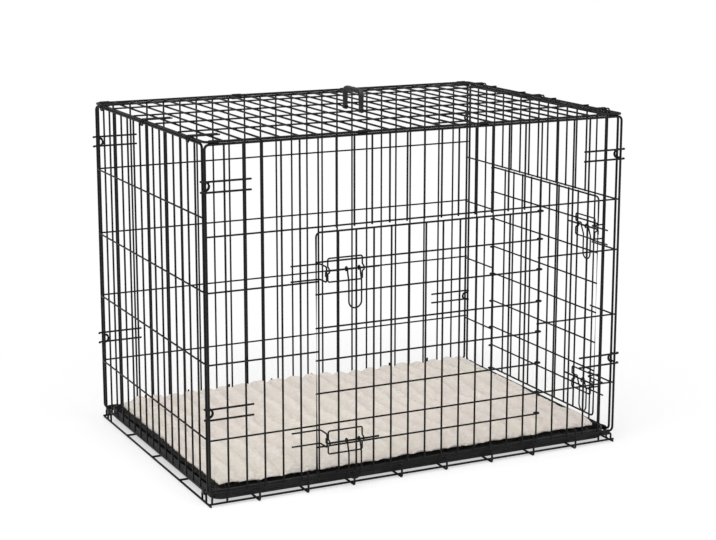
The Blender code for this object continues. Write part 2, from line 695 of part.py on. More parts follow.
def panels():
    piece("front_panel", panel(FRONT, LONG_BAYS, PANEL_BOTTOM, PANEL_TOP, JAMB_ROWS, -1, FRONT_DOOR_BAYS)
          + corner_bars(FRONT), BLACK_WIRE, FRONT.at(0, 0, PANEL_BOTTOM))
    piece("back_panel", panel(BACK, LONG_BAYS, PANEL_BOTTOM, PANEL_TOP, PLAIN_ROWS, -1)
          + corner_bars(BACK), BLACK_WIRE, BACK.at(0, 0, PANEL_BOTTOM))
    piece("left_end_panel", panel(LEFT, END_BAYS, PANEL_BOTTOM, PANEL_TOP, PLAIN_ROWS, 1),
          BLACK_WIRE, LEFT.at(0, 0, PANEL_BOTTOM))
    piece("right_end_panel", panel(RIGHT, END_BAYS, PANEL_BOTTOM, PANEL_TOP, JAMB_ROWS, -1, END_DOOR_BAYS),
          BLACK_WIRE, RIGHT.at(0, 0, PANEL_BOTTOM))
    lid_rows = [WIDTH * (k + 1) / (LID_ROWS + 1) for k in range(LID_ROWS)]
    piece("top_panel", panel(LID, LONG_BAYS, 0, WIDTH, lid_rows, 1, overhang=LID_OVERHANG),
          BLACK_WIRE, LID.at(0, 0, WIDTH))


def hinges():
    for order, bay in enumerate(SLEEVE_BAYS, 1):
        place = (bay + 0.5) * PITCH
        clip(f"front_lid_clip_{order}", place)
        sleeve(f"back_lid_sleeve_{order}", BACK.at(place, 0, PANEL_TOP), (1, 0, 0), (0, 1, 0),
               LID_HEIGHT - PANEL_TOP)
    spacing = PANEL_BOTTOM - ARCH_HEIGHT
    for order, bay in enumerate(CORNER_SLEEVE_BAYS, 1):
        place = (bay + 0.5) * PITCH
        sleeve(f"front_floor_sleeve_{order}", FRONT.at(place, 0, ARCH_HEIGHT), (1, 0, 0), (0, 1, 0), spacing)
        sleeve(f"back_floor_sleeve_{order}", BACK.at(place, 0, ARCH_HEIGHT), (1, 0, 0), (0, 1, 0), spacing)
    for order, bay in enumerate(END_SLEEVE_BAYS, 1):
        place = (bay + 0.5) * PITCH
        for end, side in (("left", LEFT), ("right", RIGHT)):
            lower = side.at(place, 0, ARCH_HEIGHT)
            sleeve(f"{end}_floor_sleeve_{order}", lower, (0, 1, 0), (1, 0, 0), spacing, END_SLEEVE_LENGTH)


def lid_hooks():
    for order, offset in enumerate(END_HOOK_OFFSETS, 1):
        end_hook(f"left_lid_hook_{order}", WIDTH / 2 + offset, 0.0, -1)
        end_hook(f"right_lid_hook_{order}", WIDTH / 2 + offset, LENGTH, 1)


def main():
    clear_scene()
    floor_grid()
    tray()
    pad()
    panels()
    corner_hooks("left", LEFT)
    corner_hooks("right", RIGHT)
    door("front_door", FRONT, FRONT_DOOR_BAYS)
    door("end_door", RIGHT, END_DOOR_BAYS)
    latches("front", FRONT, FRONT_DOOR_BAYS)
    latches("end", RIGHT, END_DOOR_BAYS)
    hinges()
    lid_hooks()
    handle()


main()
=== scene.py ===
"""Folding wire dog crate with a lift-out tray and a fleece pad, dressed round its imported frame.

Metres, +Z up, X along the front, Y from the front to the back. Every panel is laid out in its own
coordinates: along its bottom, out of the crate, and up.
"""

import json
import math

import bpy
import numpy as np
from bpy.props import FloatProperty, FloatVectorProperty, IntProperty, PointerProperty
from mathutils import Matrix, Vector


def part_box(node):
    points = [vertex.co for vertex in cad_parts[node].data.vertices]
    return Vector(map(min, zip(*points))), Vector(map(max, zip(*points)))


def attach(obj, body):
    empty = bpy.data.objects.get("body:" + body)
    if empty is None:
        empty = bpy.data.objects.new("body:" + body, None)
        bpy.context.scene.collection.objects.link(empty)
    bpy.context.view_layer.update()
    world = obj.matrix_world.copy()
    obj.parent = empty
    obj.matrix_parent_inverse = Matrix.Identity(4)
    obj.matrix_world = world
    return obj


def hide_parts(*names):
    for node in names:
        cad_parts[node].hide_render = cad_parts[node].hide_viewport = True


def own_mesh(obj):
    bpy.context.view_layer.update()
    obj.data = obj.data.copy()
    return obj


bl_info = {
    "name": "Folding dog crate",
    "version": (1, 0, 0),
    "blender": (4, 5, 0),
    "location": "View3D > Sidebar > Crate",
    "description": "Wire crate with two doors, a moulded tray and a fleece pad",
    "category": "Object",
}

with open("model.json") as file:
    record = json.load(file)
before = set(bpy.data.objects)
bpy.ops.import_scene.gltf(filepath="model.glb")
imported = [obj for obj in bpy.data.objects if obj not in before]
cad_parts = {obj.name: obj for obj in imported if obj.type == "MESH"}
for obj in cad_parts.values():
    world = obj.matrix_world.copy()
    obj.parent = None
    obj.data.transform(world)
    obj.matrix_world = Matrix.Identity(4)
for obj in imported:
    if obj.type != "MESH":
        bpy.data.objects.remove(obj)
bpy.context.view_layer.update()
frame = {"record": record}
BODY_OF = {node: body for body, nodes in frame["record"]["behaviour"]["bodies"].items() for node in nodes}

# Mesh layout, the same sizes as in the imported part
PITCH = 0.04354
LONG_BAYS = 24
END_BAYS = 16
END_INSET = 0.0146
PANEL_BOTTOM = 0.028
PANEL_TOP = 0.7955
LID_HEIGHT = 0.80134
CORNER_RADIUS = 0.010
PLAIN_ROWS = (0.153, 0.321, 0.479, 0.640)
JAMB_ROWS = (0.149, 0.318, 0.4765)
DOOR_HEAD_ROW = 0.598
FRONT_DOOR_BAYS = (6, 19)
END_DOOR_BAYS = (2, 13)
LID_ROWS = 4
LID_OVERHANG = 0.004
LENGTH = LONG_BAYS * PITCH
END_WIDTH = END_BAYS * PITCH
WIDTH = END_WIDTH + 2 * END_INSET

# Doors and latches
DOOR_SILL = 0.038
DOOR_HEAD = 0.588
DOOR_ROWS = (0.1015, 0.153, 0.225, 0.3005, 0.374, 0.450, 0.522)
DOOR_OVERLAP = 0.0085
DOOR_STAND_OFF = 0.0056
EYE_WRAP = math.radians(250)
LATCHES = {"upper": (0.5035, 0.4815, 0.516), "lower": (0.1113, 0.107, 0.138)}
PLATE_START = 0.016
PLATE_LENGTH = 0.084
PLATE_HEIGHT = 0.053
PLATE_RADIUS = 0.0045
PLATE_OFFSET = 0.0130
BOLT_OFFSET = 0.01786
BOLT_EYE = 0.00486
BOLT_LENGTH = 0.131
BOLT_START = 0.009
BOLT_TIP = 0.013
PULL_START = 0.059
PULL_WIDTH = 0.031
PULL_LENGTH = 0.086
PULL_LEAN = 0.007
STAPLE_LEG = 0.065
STAPLE_SIDE = 0.00467
STAPLE_NOSE = 0.031

# Corner bars, hooks and sleeves
BAR_HEIGHTS = (0.198, 0.222, 0.695, 0.718)
BAR_LENGTH = 0.104
BAR_OVERHANG = 0.009
BAR_TIP = 0.004
HOOK_HEIGHTS = {"lower": 0.210, "upper": 0.7065}
HOOK_HALF_HEIGHT = 0.0095
HOOK_REACH = 0.012
HOOK_SET_IN = 0.008
END_HOOK_OFFSETS = (-0.290, 0.0, 0.290)
END_HOOK_WIDTH = 0.014
END_HOOK_LENGTH = 0.062
END_HOOK_OUT = 0.0099
END_HOOK_DROP = 0.013
SLEEVE_LENGTH = 0.024
SLEEVE_WALL = 0.0010
SLEEVE_BORE = 0.00307
SLEEVE_BAYS = (0, 8, 15, 23)
CORNER_SLEEVE_BAYS = (0, LONG_BAYS - 1)
END_SLEEVE_BAYS = (0, END_BAYS - 1)
END_SLEEVE_LENGTH = 0.012
CLIP_DROP = 0.0085

# Floor grid, tray and pad
FLOOR_CROSS = 8
FLOOR_PITCH = 0.1172
FLOOR_LONG = 5
STUB_FORWARD = 0.0115
STUB_HEIGHT = 0.0485
LOW_STUB_HEIGHT = 0.0335
BACK_STUB_HEIGHT = 0.0420
CROSS_HEIGHT = 0.0024
LONG_HEIGHT = 0.0064
ARCH_HEIGHT = 0.02273
ARCH_MARGIN = 0.0057
TRAY_GAP = 0.0095
TRAY_RADIUS = 0.030
PAD_INSET = 0.0125
PAD_RADIUS = 0.026

# Detail that only the looks have
WIRE_SIDES = 12
STRIP_SIDES = 20
BEND_STEPS = 6
END_DOME = ((0.0, 0.55), (0.18, 0.86), (0.5, 1.0))
BEAD_SHAPE = np.array([1.0, 0.42, 0.8])
FLOOR_BEAD_SHAPE = np.array([1.1, 0.5, 1.1])
BAR_BEND = 0.004
BOLT_BEND = 0.0045
STAPLE_BEND = 0.0055
HOOK_BEND = 0.005
FLOOR_BEND = 0.005
STUB_LEAN = 0.002
UPRIGHT_ROOM = 0.0049
PLATE_BOW = 0.0062
PLATE_STRAIGHT = 0.002
HANDLE_BEND = 0.011
HANDLE_FOOT_RADIUS = 0.0047
HANDLE_FOOT_WIDTH = 0.012
HANDLE_FOOT_WALL = 0.0028
KNUCKLE = 0.035
TRAY_FLOOR = 0.0025
GROOVE_FLOOR = 0.0016
TRAY_LEAST_RADIUS = 0.006
PAD_SIDE = 0.020
PAD_LEAST_RADIUS = 0.012
MIDDLE_INSET = 0.120
FOLD_SEED, SWAY_SEED, WAVE_SEED, CURL_SEED = 11, 14, 12, 31
HOLLOW_SEEDS, WARP_SEEDS = (5, 6), (21, 22, 23)
SWAY_SIZE, HOLLOW_SIZE, DIMPLE_SIZE, WARP_SIZE = 0.09, 0.13, 0.05, 0.02
WARP_REACH = 0.010
SEAM_SOFTNESS = 0.002
SENSOR_WIDTH = 36.0
WHITE = (1.0, 1.0, 1.0, 1.0)

TRAY_LOW, TRAY_HIGH = (np.array(corner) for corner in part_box("tray"))
PAD_LOW, PAD_HIGH = (np.array(corner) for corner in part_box("fleece_pad"))
PLAN_HALF = np.array([LENGTH, WIDTH]) / 2
CORNER = (TRAY_LOW + TRAY_HIGH) / 2 - np.array([*PLAN_HALF, 0])
CORNER[2] = 0.0


def stacked(*parts):
    """A row for each element of the parts, which are numbers or arrays that fit together."""
    return np.stack(np.broadcast_arrays(*parts), -1)


class Side:
    """A panel's own coordinates: along its bottom, out of the crate, and up from its first edge."""

    def __init__(self, origin, along, outward, up=(0, 0, 1)):
        self.origin = np.array(origin, float) + CORNER
        self.axes = np.array([along, outward, up], float)
        self.along, self.outward, self.up = self.axes

    def at(self, along, outward, up):
        """Points of the object's frame, one for each element of the arguments."""
        return self.origin + stacked(along, outward, up) @ self.axes


FRONT = Side((0, 0, 0), (1, 0, 0), (0, -1, 0))
BACK = Side((0, WIDTH, 0), (1, 0, 0), (0, 1, 0))
LEFT = Side((0, END_INSET, 0), (0, 1, 0), (-1, 0, 0))
RIGHT = Side((LENGTH, END_INSET, 0), (0, 1, 0), (1, 0, 0))
LID = Side((0, 0, LID_HEIGHT), (1, 0, 0), (0, 0, 1), (0, 1, 0))
PLAN = Side((0, 0, 0), (1, 0, 0), (0, 0, 1), (0, 1, 0))

# Hinge sleeves on the floor: each side's bays, the sleeve's length and the foot of the arch that carries it
FLOOR_SLEEVES = {"front": (FRONT, CORNER_SLEEVE_BAYS, SLEEVE_LENGTH, LONG_HEIGHT),
                 "back": (BACK, CORNER_SLEEVE_BAYS, SLEEVE_LENGTH, LONG_HEIGHT),
                 "left": (LEFT, END_SLEEVE_BAYS, END_SLEEVE_LENGTH, CROSS_HEIGHT),
                 "right": (RIGHT, END_SLEEVE_BAYS, END_SLEEVE_LENGTH, CROSS_HEIGHT)}


class Surface:
    """Points, four-sided and three-sided faces, and a mask that is 1 where the metal was welded."""

    def __init__(self, points, quads, triangles=(), weld=0.0):
        self.points = np.asarray(points, float).reshape(-1, 3)
        self.quads = np.asarray(quads, int).reshape(-1, 4)
        self.triangles = np.asarray(triangles, int).reshape(-1, 3)
        self.weld = np.full(len(self.points), weld)


def joined(surfaces):
    """One surface holding them all: the face numbers of each are moved up by the points before it."""
    starts = np.cumsum([0] + [len(s.points) for s in surfaces[:-1]])
    quads, triangles = (np.concatenate([getattr(s, faces) + start for s, start in zip(surfaces, starts)])
                        for faces in ("quads", "triangles"))
    whole = Surface(np.concatenate([s.points for s in surfaces]), quads, triangles)
    whole.weld = np.concatenate([s.weld for s in surfaces])
    return whole


def unit(vectors):
    return vectors / np.linalg.norm(vectors, axis=-1, keepdims=True)


def bent(points, radius, closed=False, steps=BEND_STEPS):
    """The path with each corner replaced by an arc.

    The arc's centre is C + (a + b) / |a + b| * r / sin(half), where a and b point from the corner C to its
    neighbours and half is half the angle between them. The arc runs from the point on a to the point on b.
    """
    points = np.asarray(points, float)
    back, ahead = unit(np.roll(points, 1, 0) - points), unit(np.roll(points, -1, 0) - points)
    half = np.arccos(np.clip((back * ahead).sum(-1), -1, 1))[:, None] / 2
    centre = points + unit(back + ahead) * radius / np.sin(half)
    start = points + back * radius / np.tan(half) - centre
    turn = (math.pi - 2 * half)[:, None] * np.linspace(0, 1, steps + 1)[None, :, None]
    arcs = centre[:, None] + start[:, None] * np.cos(turn) - back[:, None] * radius * np.sin(turn)
    if closed:
        return arcs.reshape(-1, 3)
    return np.concatenate([points[:1], arcs[1:-1].reshape(-1, 3), points[-1:]])


def loft(rings, closed=False):
    """Faces between rings of points, one after another. A fan to its middle closes each open end."""
    rings = np.asarray(rings, float)
    levels, count = rings.shape[:2]
    ring = np.arange(count)
    turn = (ring + 1) % count
    level = np.arange(levels if closed else levels - 1)[:, None]
    low, high = level * count, (level + 1) % levels * count
    quads = np.stack([low + ring, low + turn, high + turn, high + ring], -1).reshape(-1, 4)
    points = rings.reshape(-1, 3)
    if closed:
        return Surface(points, quads)
    first = np.stack([turn, ring, np.full(count, levels * count)], -1)
    last = np.stack([ring, turn, np.full(count, 0)], -1) + (levels - 1) * count
    last[:, 2] = levels * count + 1
    points = np.concatenate([points, rings[:1].mean(1), rings[-1:].mean(1)])
    return Surface(points, quads, np.concatenate([first, last]))


def swept(path, section, across, closed=False, scale=None):
    """A section carried along a path: P(s) + x N(s) + y B(s) for each point (x, y) of the section.

    T is the mean direction of the two runs that meet at P, N is the across direction made square to T, and
    B is T x N.
    """
    path = np.asarray(path, float)
    runs = unit(np.roll(path, -1, 0) - path)
    before = np.roll(runs, 1, 0)
    if not closed:
        runs[-1] = before[-1]
        before[0] = runs[0]
    tangent = unit(runs + before)
    across = np.broadcast_to(np.asarray(across, float), tangent.shape)
    normal = unit(across - tangent * (across * tangent).sum(-1, keepdims=True))
    beside = np.cross(tangent, normal)
    section = np.asarray(section, float)[None]
    if scale is not None:
        section = section * np.asarray(scale, float).reshape(-1, 1, 1)
    rings = path[:, None] + section[..., :1] * normal[:, None] + section[..., 1:] * beside[:, None]
    return loft(rings, closed)


def oval(half_width, half_height, sides, power=1.0):
    """A ring (w c, h s), with the cosine c and the sine s raised to a power that keeps their signs."""
    turn = (np.arange(sides) + 0.5) / sides * 2 * math.pi
    ring = stacked(np.cos(turn), np.sin(turn))
    return np.sign(ring) * abs(ring) ** power * np.array([half_width, half_height])


def wire(points, diameter, across, closed=False, bend=0.0):
    """A round wire. Its free ends are sheared off with a small dome, as wire cut by a die is."""
    path = bent(points, bend, closed) if bend else np.asarray(points, float)
    radius = diameter / 2
    section = oval(radius, radius, WIRE_SIDES)
    if closed:
        return swept(path, section, across, closed=True)
    depths, widths = np.array(END_DOME).T
    near = path[0] + unit(path[1] - path[0]) * radius * depths[:, None]
    far = path[-1] + unit(path[-2] - path[-1]) * radius * depths[::-1, None]
    scale = np.concatenate([widths, np.ones(len(path) - 2), widths[::-1]])
    return swept(np.concatenate([near, path[1:-1], far]), section, across, scale=scale)


def beads(centres, sizes, axes):
    """Weld beads, one at each centre: centre + sizes * (sin u cos v, sin u sin v, cos u) in the axes."""
    centres = np.asarray(centres, float).reshape(-1, 3)
    u = np.linspace(0, math.pi, 5)[1:-1, None]
    v = np.arange(8)[None] / 8 * 2 * math.pi
    one = loft(stacked(np.sin(u) * np.cos(v), np.sin(u) * np.sin(v), np.cos(u)))
    one.points[-2:] = [[0, 0, 1], [0, 0, -1]]
    shaped = one.points * sizes @ axes
    points = (centres[:, None] + shaped[None]).reshape(-1, 3)
    starts = (np.arange(len(centres)) * len(shaped))[:, None, None]
    return Surface(points, one.quads[None] + starts, one.triangles[None, :, ::-1] + starts, weld=1.0)


def strip(points, width, thickness, across, closed=False):
    """Sheet metal: a rectangle with rounded corners, width by thickness, carried along the path."""
    return swept(points, oval(width / 2, thickness / 2, STRIP_SIDES, power=0.25), across, closed)


class Maths:
    """A shader socket. Python's operators on it add Math nodes, so 1 - mask * 0.2 is written as it reads."""

    def __init__(self, finish, socket):
        self.finish, self.socket = finish, socket

    def combine(self, operation, first, second):
        return self.finish.node("ShaderNodeMath", {"operation": operation}, {0: first, 1: second})

    def __add__(self, other):
        return self.combine("ADD", self, other)

    def __sub__(self, other):
        return self.combine("SUBTRACT", self, other)

    def __rsub__(self, other):
        return self.combine("SUBTRACT", other, self)

    def __mul__(self, other):
        return self.combine("MULTIPLY", self, other)

    __radd__ = __add__
    __rmul__ = __mul__


class Finish:
    """The nodes of a material or of the world: one method adds any node, and lay() sets the shader."""

    def __init__(self, owner):
        owner.use_nodes = True
        self.owner, self.tree = owner, owner.node_tree

    def node(self, kind, settings=None, sockets=None, output=0):
        """A node of the kind: first its settings, then each socket's value or link."""
        made = self.tree.nodes.new(kind)
        for key, value in (settings or {}).items():
            setattr(made, key, value)
        self.fill(made, sockets or {})
        return Maths(self, made.outputs[output])

    def fill(self, node, sockets):
        for key, value in sockets.items():
            if isinstance(value, Maths):
                self.tree.links.new(value.socket, node.inputs[key])
            else:
                node.inputs[key].default_value = value

    def lay(self, **sockets):
        named = {key.replace("_", " "): value for key, value in sockets.items()}
        self.fill(self.tree.nodes["Principled BSDF"], named)
        return self.owner

    def place(self):
        return self.node("ShaderNodeTexCoord", output=3)

    def noise(self, scale, detail=2.0, roughness=0.5):
        return self.node("ShaderNodeTexNoise", sockets={
            "Vector": self.place(), "Scale": scale, "Detail": detail, "Roughness": roughness})

    def cells(self, scale):
        return self.node("ShaderNodeTexVoronoi", sockets={"Vector": self.place(), "Scale": scale})

    def contrast(self, value, low, high):
        """0 below the low value, 1 above the high one, and a smooth step between them."""
        return self.node("ShaderNodeMapRange", {"interpolation_type": "SMOOTHSTEP"},
                         {"Value": value, "From Min": low, "From Max": high})

    def mask(self, name):
        return self.node("ShaderNodeAttribute", {"attribute_name": name}, output=2)

    def mixed(self, first, second, factor):
        """The first colour where the factor is 0 and the second where it is 1."""
        return self.node("ShaderNodeMix", {"data_type": "RGBA"}, {0: factor, 6: first, 7: second}, output=2)

    def bump(self, height, depth, strength):
        return self.node("ShaderNodeBump", sockets={
            "Height": height, "Distance": depth, "Strength": strength})


def wire_coat():
    """Black dip coat on steel wire: satin, a little orange peel, greyer and rougher over the welds."""
    settings = bpy.context.scene.crate_wires
    finish = Finish(bpy.data.materials.new("black_coated_wire"))
    weld = finish.mask("weld")
    patch = finish.noise(35.0, detail=3.0)
    coat = finish.mixed(tuple(settings.colour), tuple(settings.worn_colour), patch * 0.45 + weld * 0.35)
    peel = finish.noise(1400.0, detail=1.0) * 0.6 + finish.noise(420.0) * 0.4
    return finish.lay(Base_Color=coat, Roughness=patch * 0.16 + weld * 0.12 + 0.34, Specular_IOR_Level=0.14,
                      Coat_Weight=0.02, Coat_Roughness=0.22, Normal=finish.bump(peel, 0.00012, 0.5))


def moulded_plastic(name, colour, grain):
    """Moulded black plastic: a fine leathery grain, scuffed a little paler in places."""
    finish = Finish(bpy.data.materials.new(name))
    scuff = finish.noise(24.0, detail=5.0, roughness=0.62)
    streak = finish.contrast(scuff, 0.48, 0.72)
    tint = finish.mixed(tuple(colour), (0.055, 0.055, 0.056, 1.0), streak * 0.4)
    leather = finish.cells(grain) * 0.7 + finish.noise(grain * 1.7, detail=1.0) * 0.3
    return finish.lay(Base_Color=tint, Roughness=streak * 0.12 + 0.44, Specular_IOR_Level=0.32,
                      Normal=finish.bump(leather, 0.00018, 0.6))


def fleece_cloth():
    """Curly fleece: pale tips, warmer and darker between the curls, soft patches of pink and straw, painted
    shade in the valleys between the ridges, and a painted near-black shadow below the seam.
    """
    settings = bpy.context.scene.crate_pad
    finish = Finish(bpy.data.materials.new("cream_fleece"))
    tuft = finish.mask("tuft")
    curls = finish.cells(230.0)
    fine = finish.noise(620.0, detail=3.0, roughness=0.6)
    stroke = finish.node("ShaderNodeVectorMath", {"operation": "MULTIPLY"},
                         {0: finish.place(), 1: (9.0, 24.0, 24.0)})
    streak = finish.node("ShaderNodeTexNoise", sockets={"Vector": stroke, "Scale": 1.0})
    patch = finish.contrast(streak, 0.36, 0.68)
    cast = finish.contrast(finish.noise(6.5, detail=2.0), 0.40, 0.66)
    # Partly painted shade: the roots' colour is the pile's own darker tone between the curls, and it is also
    # painted down the valleys between the ridges through the tuft mark.
    pile = finish.mixed(tuple(settings.root_and_shade_colour), tuple(settings.tip_colour),
                        tuft * 0.62 + (1 - curls) * 0.20 + fine * 0.18)
    warm = finish.mixed(pile, tuple(settings.straw_colour), patch * 0.42)
    tinted = finish.mixed(warm, tuple(settings.rose_colour), cast * 0.55)
    # Painted shadow: the pile turns near black below the seam and stands in for the shadowed gap between the
    # pad and the tray's rim.
    shaded = finish.mixed(tinted, tuple(settings.painted_seam_shadow_colour),
                          finish.contrast(finish.mask("under_seam"), 0.0002, 0.0016))
    return finish.lay(Base_Color=shaded, Roughness=0.94, Sheen_Weight=0.35, Sheen_Roughness=0.55,
                      Sheen_Tint=(1.0, 0.98, 0.95, 1.0), Specular_IOR_Level=0.2,
                      Normal=finish.bump((1 - curls) * 0.7 + fine * 0.5, 0.0022, 0.8))


def mark(mesh, name, values):
    """A number for each point of the mesh, which a material reads by its name."""
    mesh.attributes.new(name, "FLOAT", "POINT").data.foreach_set("value", values.astype(np.float32))


def add_mesh(name, surface, material, sharp=40.0):
    """An object at the origin that holds the surface, shaded smooth apart from its sharp edges."""
    mesh = bpy.data.meshes.new(name)
    mesh.from_pydata(surface.points.tolist(), [], surface.quads.tolist() + surface.triangles.tolist())
    mark(mesh, "weld", surface.weld)
    mesh.shade_smooth()
    mesh.set_sharp_from_angle(angle=math.radians(sharp))
    mesh.materials.append(material)
    made = bpy.data.objects.new(name, mesh)
    bpy.context.scene.collection.objects.link(made)
    return made


def stand_for(node, suffix, surfaces, material):
    """A piece that rides on the node's body and is shown in its place."""
    made = add_mesh(f"{node}_{suffix}", joined(surfaces), material)
    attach(made, BODY_OF[node])
    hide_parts(node)
    return made


def add_wires(node, surfaces):
    coat = bpy.data.materials.get("black_coated_wire") or wire_coat()
    return stand_for(node, "wires", surfaces, coat)


def crossings(side, places, heights, offset, shape=BEAD_SHAPE):
    """Weld beads where wires at the places meet wires at the heights, flat against the panel."""
    along, up = (grid.ravel() for grid in np.meshgrid(places, heights))
    return [beads(side.at(along, offset, up), bpy.context.scene.crate_wires.weld_size * shape, side.axes)]


def panel_wires(side, bays, low, high, rows, row_side, door=None, overhang=None):
    """A welded panel: its edge wire, uprights, and rows that stop at the doorway where they reach one."""
    sizes = bpy.context.scene.crate_wires
    width = bays * PITCH
    offset = row_side * ((sizes.upright + sizes.row) / 2 - sizes.weld_depth)
    past = sizes.upright / 2 if overhang is None else overhang
    edge = side.at([0, width, width, 0], 0, [low, low, high, high])
    made = [wire(edge, sizes.frame, side.outward, closed=True, bend=CORNER_RADIUS)]
    start, stop = door or (bays, bays)
    for bay in range(1, bays):
        diameter = sizes.jamb if door and bay in door else sizes.upright
        foot = DOOR_HEAD_ROW - sizes.row if start < bay < stop else low
        made.append(wire(side.at(bay * PITCH, 0, [foot, high]), diameter, side.outward))
    whole = (-past, width + past)
    reaches = [(-past, start * PITCH + past), (stop * PITCH - past, width + past)] if door else [whole]
    for height in rows:
        made += [wire(side.at(reach, offset, height), sizes.row, side.outward) for reach in reaches]
    every = np.arange(0, bays + 1)
    beside = every[(every <= start) | (every >= stop)]
    made += crossings(side, beside * PITCH, rows, offset / 2)
    made += crossings(side, every[1:-1] * PITCH, [high], 0.0)
    made += crossings(side, beside[1:-1] * PITCH, [low], 0.0)
    if door:
        made.append(wire(side.at(whole, offset, DOOR_HEAD_ROW), sizes.row, side.outward))
        made += crossings(side, every * PITCH, [DOOR_HEAD_ROW], offset / 2)
    return made


def corner_bars(side):
    """Doubled bars on a long panel's corners, whose tips turn back round the corner."""
    sizes = bpy.context.scene.crate_wires
    offset = (sizes.upright + sizes.bar) / 2 - sizes.weld_depth
    made = []
    for height in BAR_HEIGHTS:
        for start, end in ((BAR_LENGTH, -BAR_OVERHANG), (LENGTH - BAR_LENGTH, LENGTH + BAR_OVERHANG)):
            path = side.at([start, end, end], [offset, offset, -BAR_TIP], height)
            made.append(wire(path, sizes.bar, side.up, bend=BAR_BEND))
    near = np.array([0, 1, 2])
    posts = np.concatenate([near, LONG_BAYS - near]) * PITCH
    return made + crossings(side, posts, BAR_HEIGHTS, offset / 2)


def corner_hook(side, edge, turn, height):
    """A C hook at an end panel's edge: in behind the long panel's corner, half round, and out again."""
    sizes = bpy.context.scene.crate_wires
    start = edge + turn * sizes.frame / 2
    near = edge + turn * (END_INSET - HOOK_SET_IN)
    straight = HOOK_REACH - HOOK_HALF_HEIGHT
    sweep = np.linspace(-math.pi / 2, math.pi / 2, 13)
    out, up = -straight - HOOK_HALF_HEIGHT * np.cos(sweep), height + HOOK_HALF_HEIGHT * np.sin(sweep)
    low, high = height - HOOK_HALF_HEIGHT, height + HOOK_HALF_HEIGHT
    path = np.concatenate([side.at([start, near], 0, low), side.at(near, out, up),
                           side.at([near, start], 0, high)])
    return [wire(path, sizes.hook, side.up + side.outward * 0.4 + side.along * 0.1)]


def eye(side, jamb, height, start):
    """A door wire that runs to the jamb and curls round it: jamb + R (cos a, sin a), from 90 degrees down."""
    turn = math.pi / 2 - np.linspace(0, EYE_WRAP, 21)
    along = np.concatenate([[start], jamb + DOOR_STAND_OFF * np.cos(turn)])
    out = np.concatenate([[DOOR_STAND_OFF], DOOR_STAND_OFF * np.sin(turn)])
    return side.at(along, out, height)


def door_wires(side, bays):
    """A door: a heavier edge wire, rows that curl round the hinge jamb, and bars welded over them."""
    sizes = bpy.context.scene.crate_wires
    free, jamb = bays[0] * PITCH - DOOR_OVERLAP, bays[1] * PITCH
    corners = side.at([jamb, free, free, jamb], DOOR_STAND_OFF, [DOOR_HEAD, DOOR_HEAD, DOOR_SILL, DOOR_SILL])
    head, sill = (eye(side, jamb, height, jamb - PITCH)[1:] for height in (DOOR_HEAD, DOOR_SILL))
    path = np.concatenate([head[:0:-1], bent(corners, CORNER_RADIUS), sill[1:]])
    made = [wire(path, sizes.door, side.up + side.outward * 0.01)]
    made += [wire(eye(side, jamb, height, free), sizes.row, side.up) for height in DOOR_ROWS]
    bars = np.arange(bays[0] + 1, bays[1]) * PITCH
    outer = DOOR_STAND_OFF + (sizes.row + sizes.upright) / 2 - sizes.weld_depth
    ends = np.array([DOOR_SILL, DOOR_HEAD]) + np.array([-1, 1]) * sizes.upright / 2
    made += [wire(side.at(place, outer, ends), sizes.upright, side.outward) for place in bars]
    middle = (outer + DOOR_STAND_OFF) / 2
    made += crossings(side, bars, DOOR_ROWS + (DOOR_SILL, DOOR_HEAD), middle)
    return made + crossings(side, [free], DOOR_ROWS, DOOR_STAND_OFF)


def plate_wire(side, jamb, bolt):
    """The latch's wire rectangle. Its short sides bow out round the bolt: flat + rise exp(-(u / w)^4)."""
    sizes = bpy.context.scene.crate_wires
    near, far = jamb + PLATE_START, jamb + PLATE_START + PLATE_LENGTH
    low, high = bolt - PLATE_HEIGHT / 2, bolt + PLATE_HEIGHT / 2
    corners = side.at([near, far, far, near], PLATE_OFFSET, [low, low, high, high])
    path = bent(corners, PLATE_RADIUS, closed=True)
    rise = BOLT_OFFSET - PLATE_OFFSET + (sizes.bolt + sizes.bent) / 2
    up = np.linspace(-1, 1, 25) * (PLATE_HEIGHT / 2 - PLATE_RADIUS - PLATE_STRAIGHT)
    out = PLATE_OFFSET + rise * np.exp(-(up / PLATE_BOW) ** 4)
    half = len(path) // 2
    turned = np.concatenate([path[:half], side.at(far, out, bolt + up),
                             path[half:], side.at(near, out, bolt - up)])
    return [wire(turned, sizes.bent, side.outward + side.along * 0.5 + side.up * 0.3, closed=True)]


def bolt_wire(side, jamb, height, tip):
    """A straight rod with a short bent tip, rounded at the bend."""
    sizes = bpy.context.scene.crate_wires
    start = jamb + BOLT_START
    path = side.at([start, start, start + BOLT_LENGTH], BOLT_OFFSET, [height + tip, height, height])
    return [wire(path, sizes.bolt, side.outward, bend=BOLT_BEND)]


def pull_wire(side, jamb, height):
    """The pull that hangs on the bolt: an eye round the rod on each leg, and a half-round foot."""
    sizes = bpy.context.scene.crate_wires
    near = jamb + PULL_START
    turn = np.radians(np.linspace(-70, 180, 18))
    eye_out, eye_up = BOLT_OFFSET - BOLT_EYE * np.cos(turn), height + BOLT_EYE * np.sin(turn)
    front = BOLT_OFFSET + BOLT_EYE
    out = np.concatenate([eye_out, [front + 0.001, front + PULL_LEAN, front + PULL_LEAN]])
    up = np.concatenate([eye_up, height - np.array([0.006, PLATE_HEIGHT / 2, PULL_LENGTH - PULL_WIDTH / 2])])
    sweep = np.linspace(0, math.pi, 16)[1:-1]
    foot = side.at(near + PULL_WIDTH / 2 * (1 - np.cos(sweep)), front + PULL_LEAN,
                   height - PULL_LENGTH + PULL_WIDTH / 2 * (1 - np.sin(sweep)))
    path = np.concatenate([side.at(near, out, up), foot, side.at(near + PULL_WIDTH, out[::-1], up[::-1])])
    return [wire(path, sizes.bent, side.along + side.outward)]


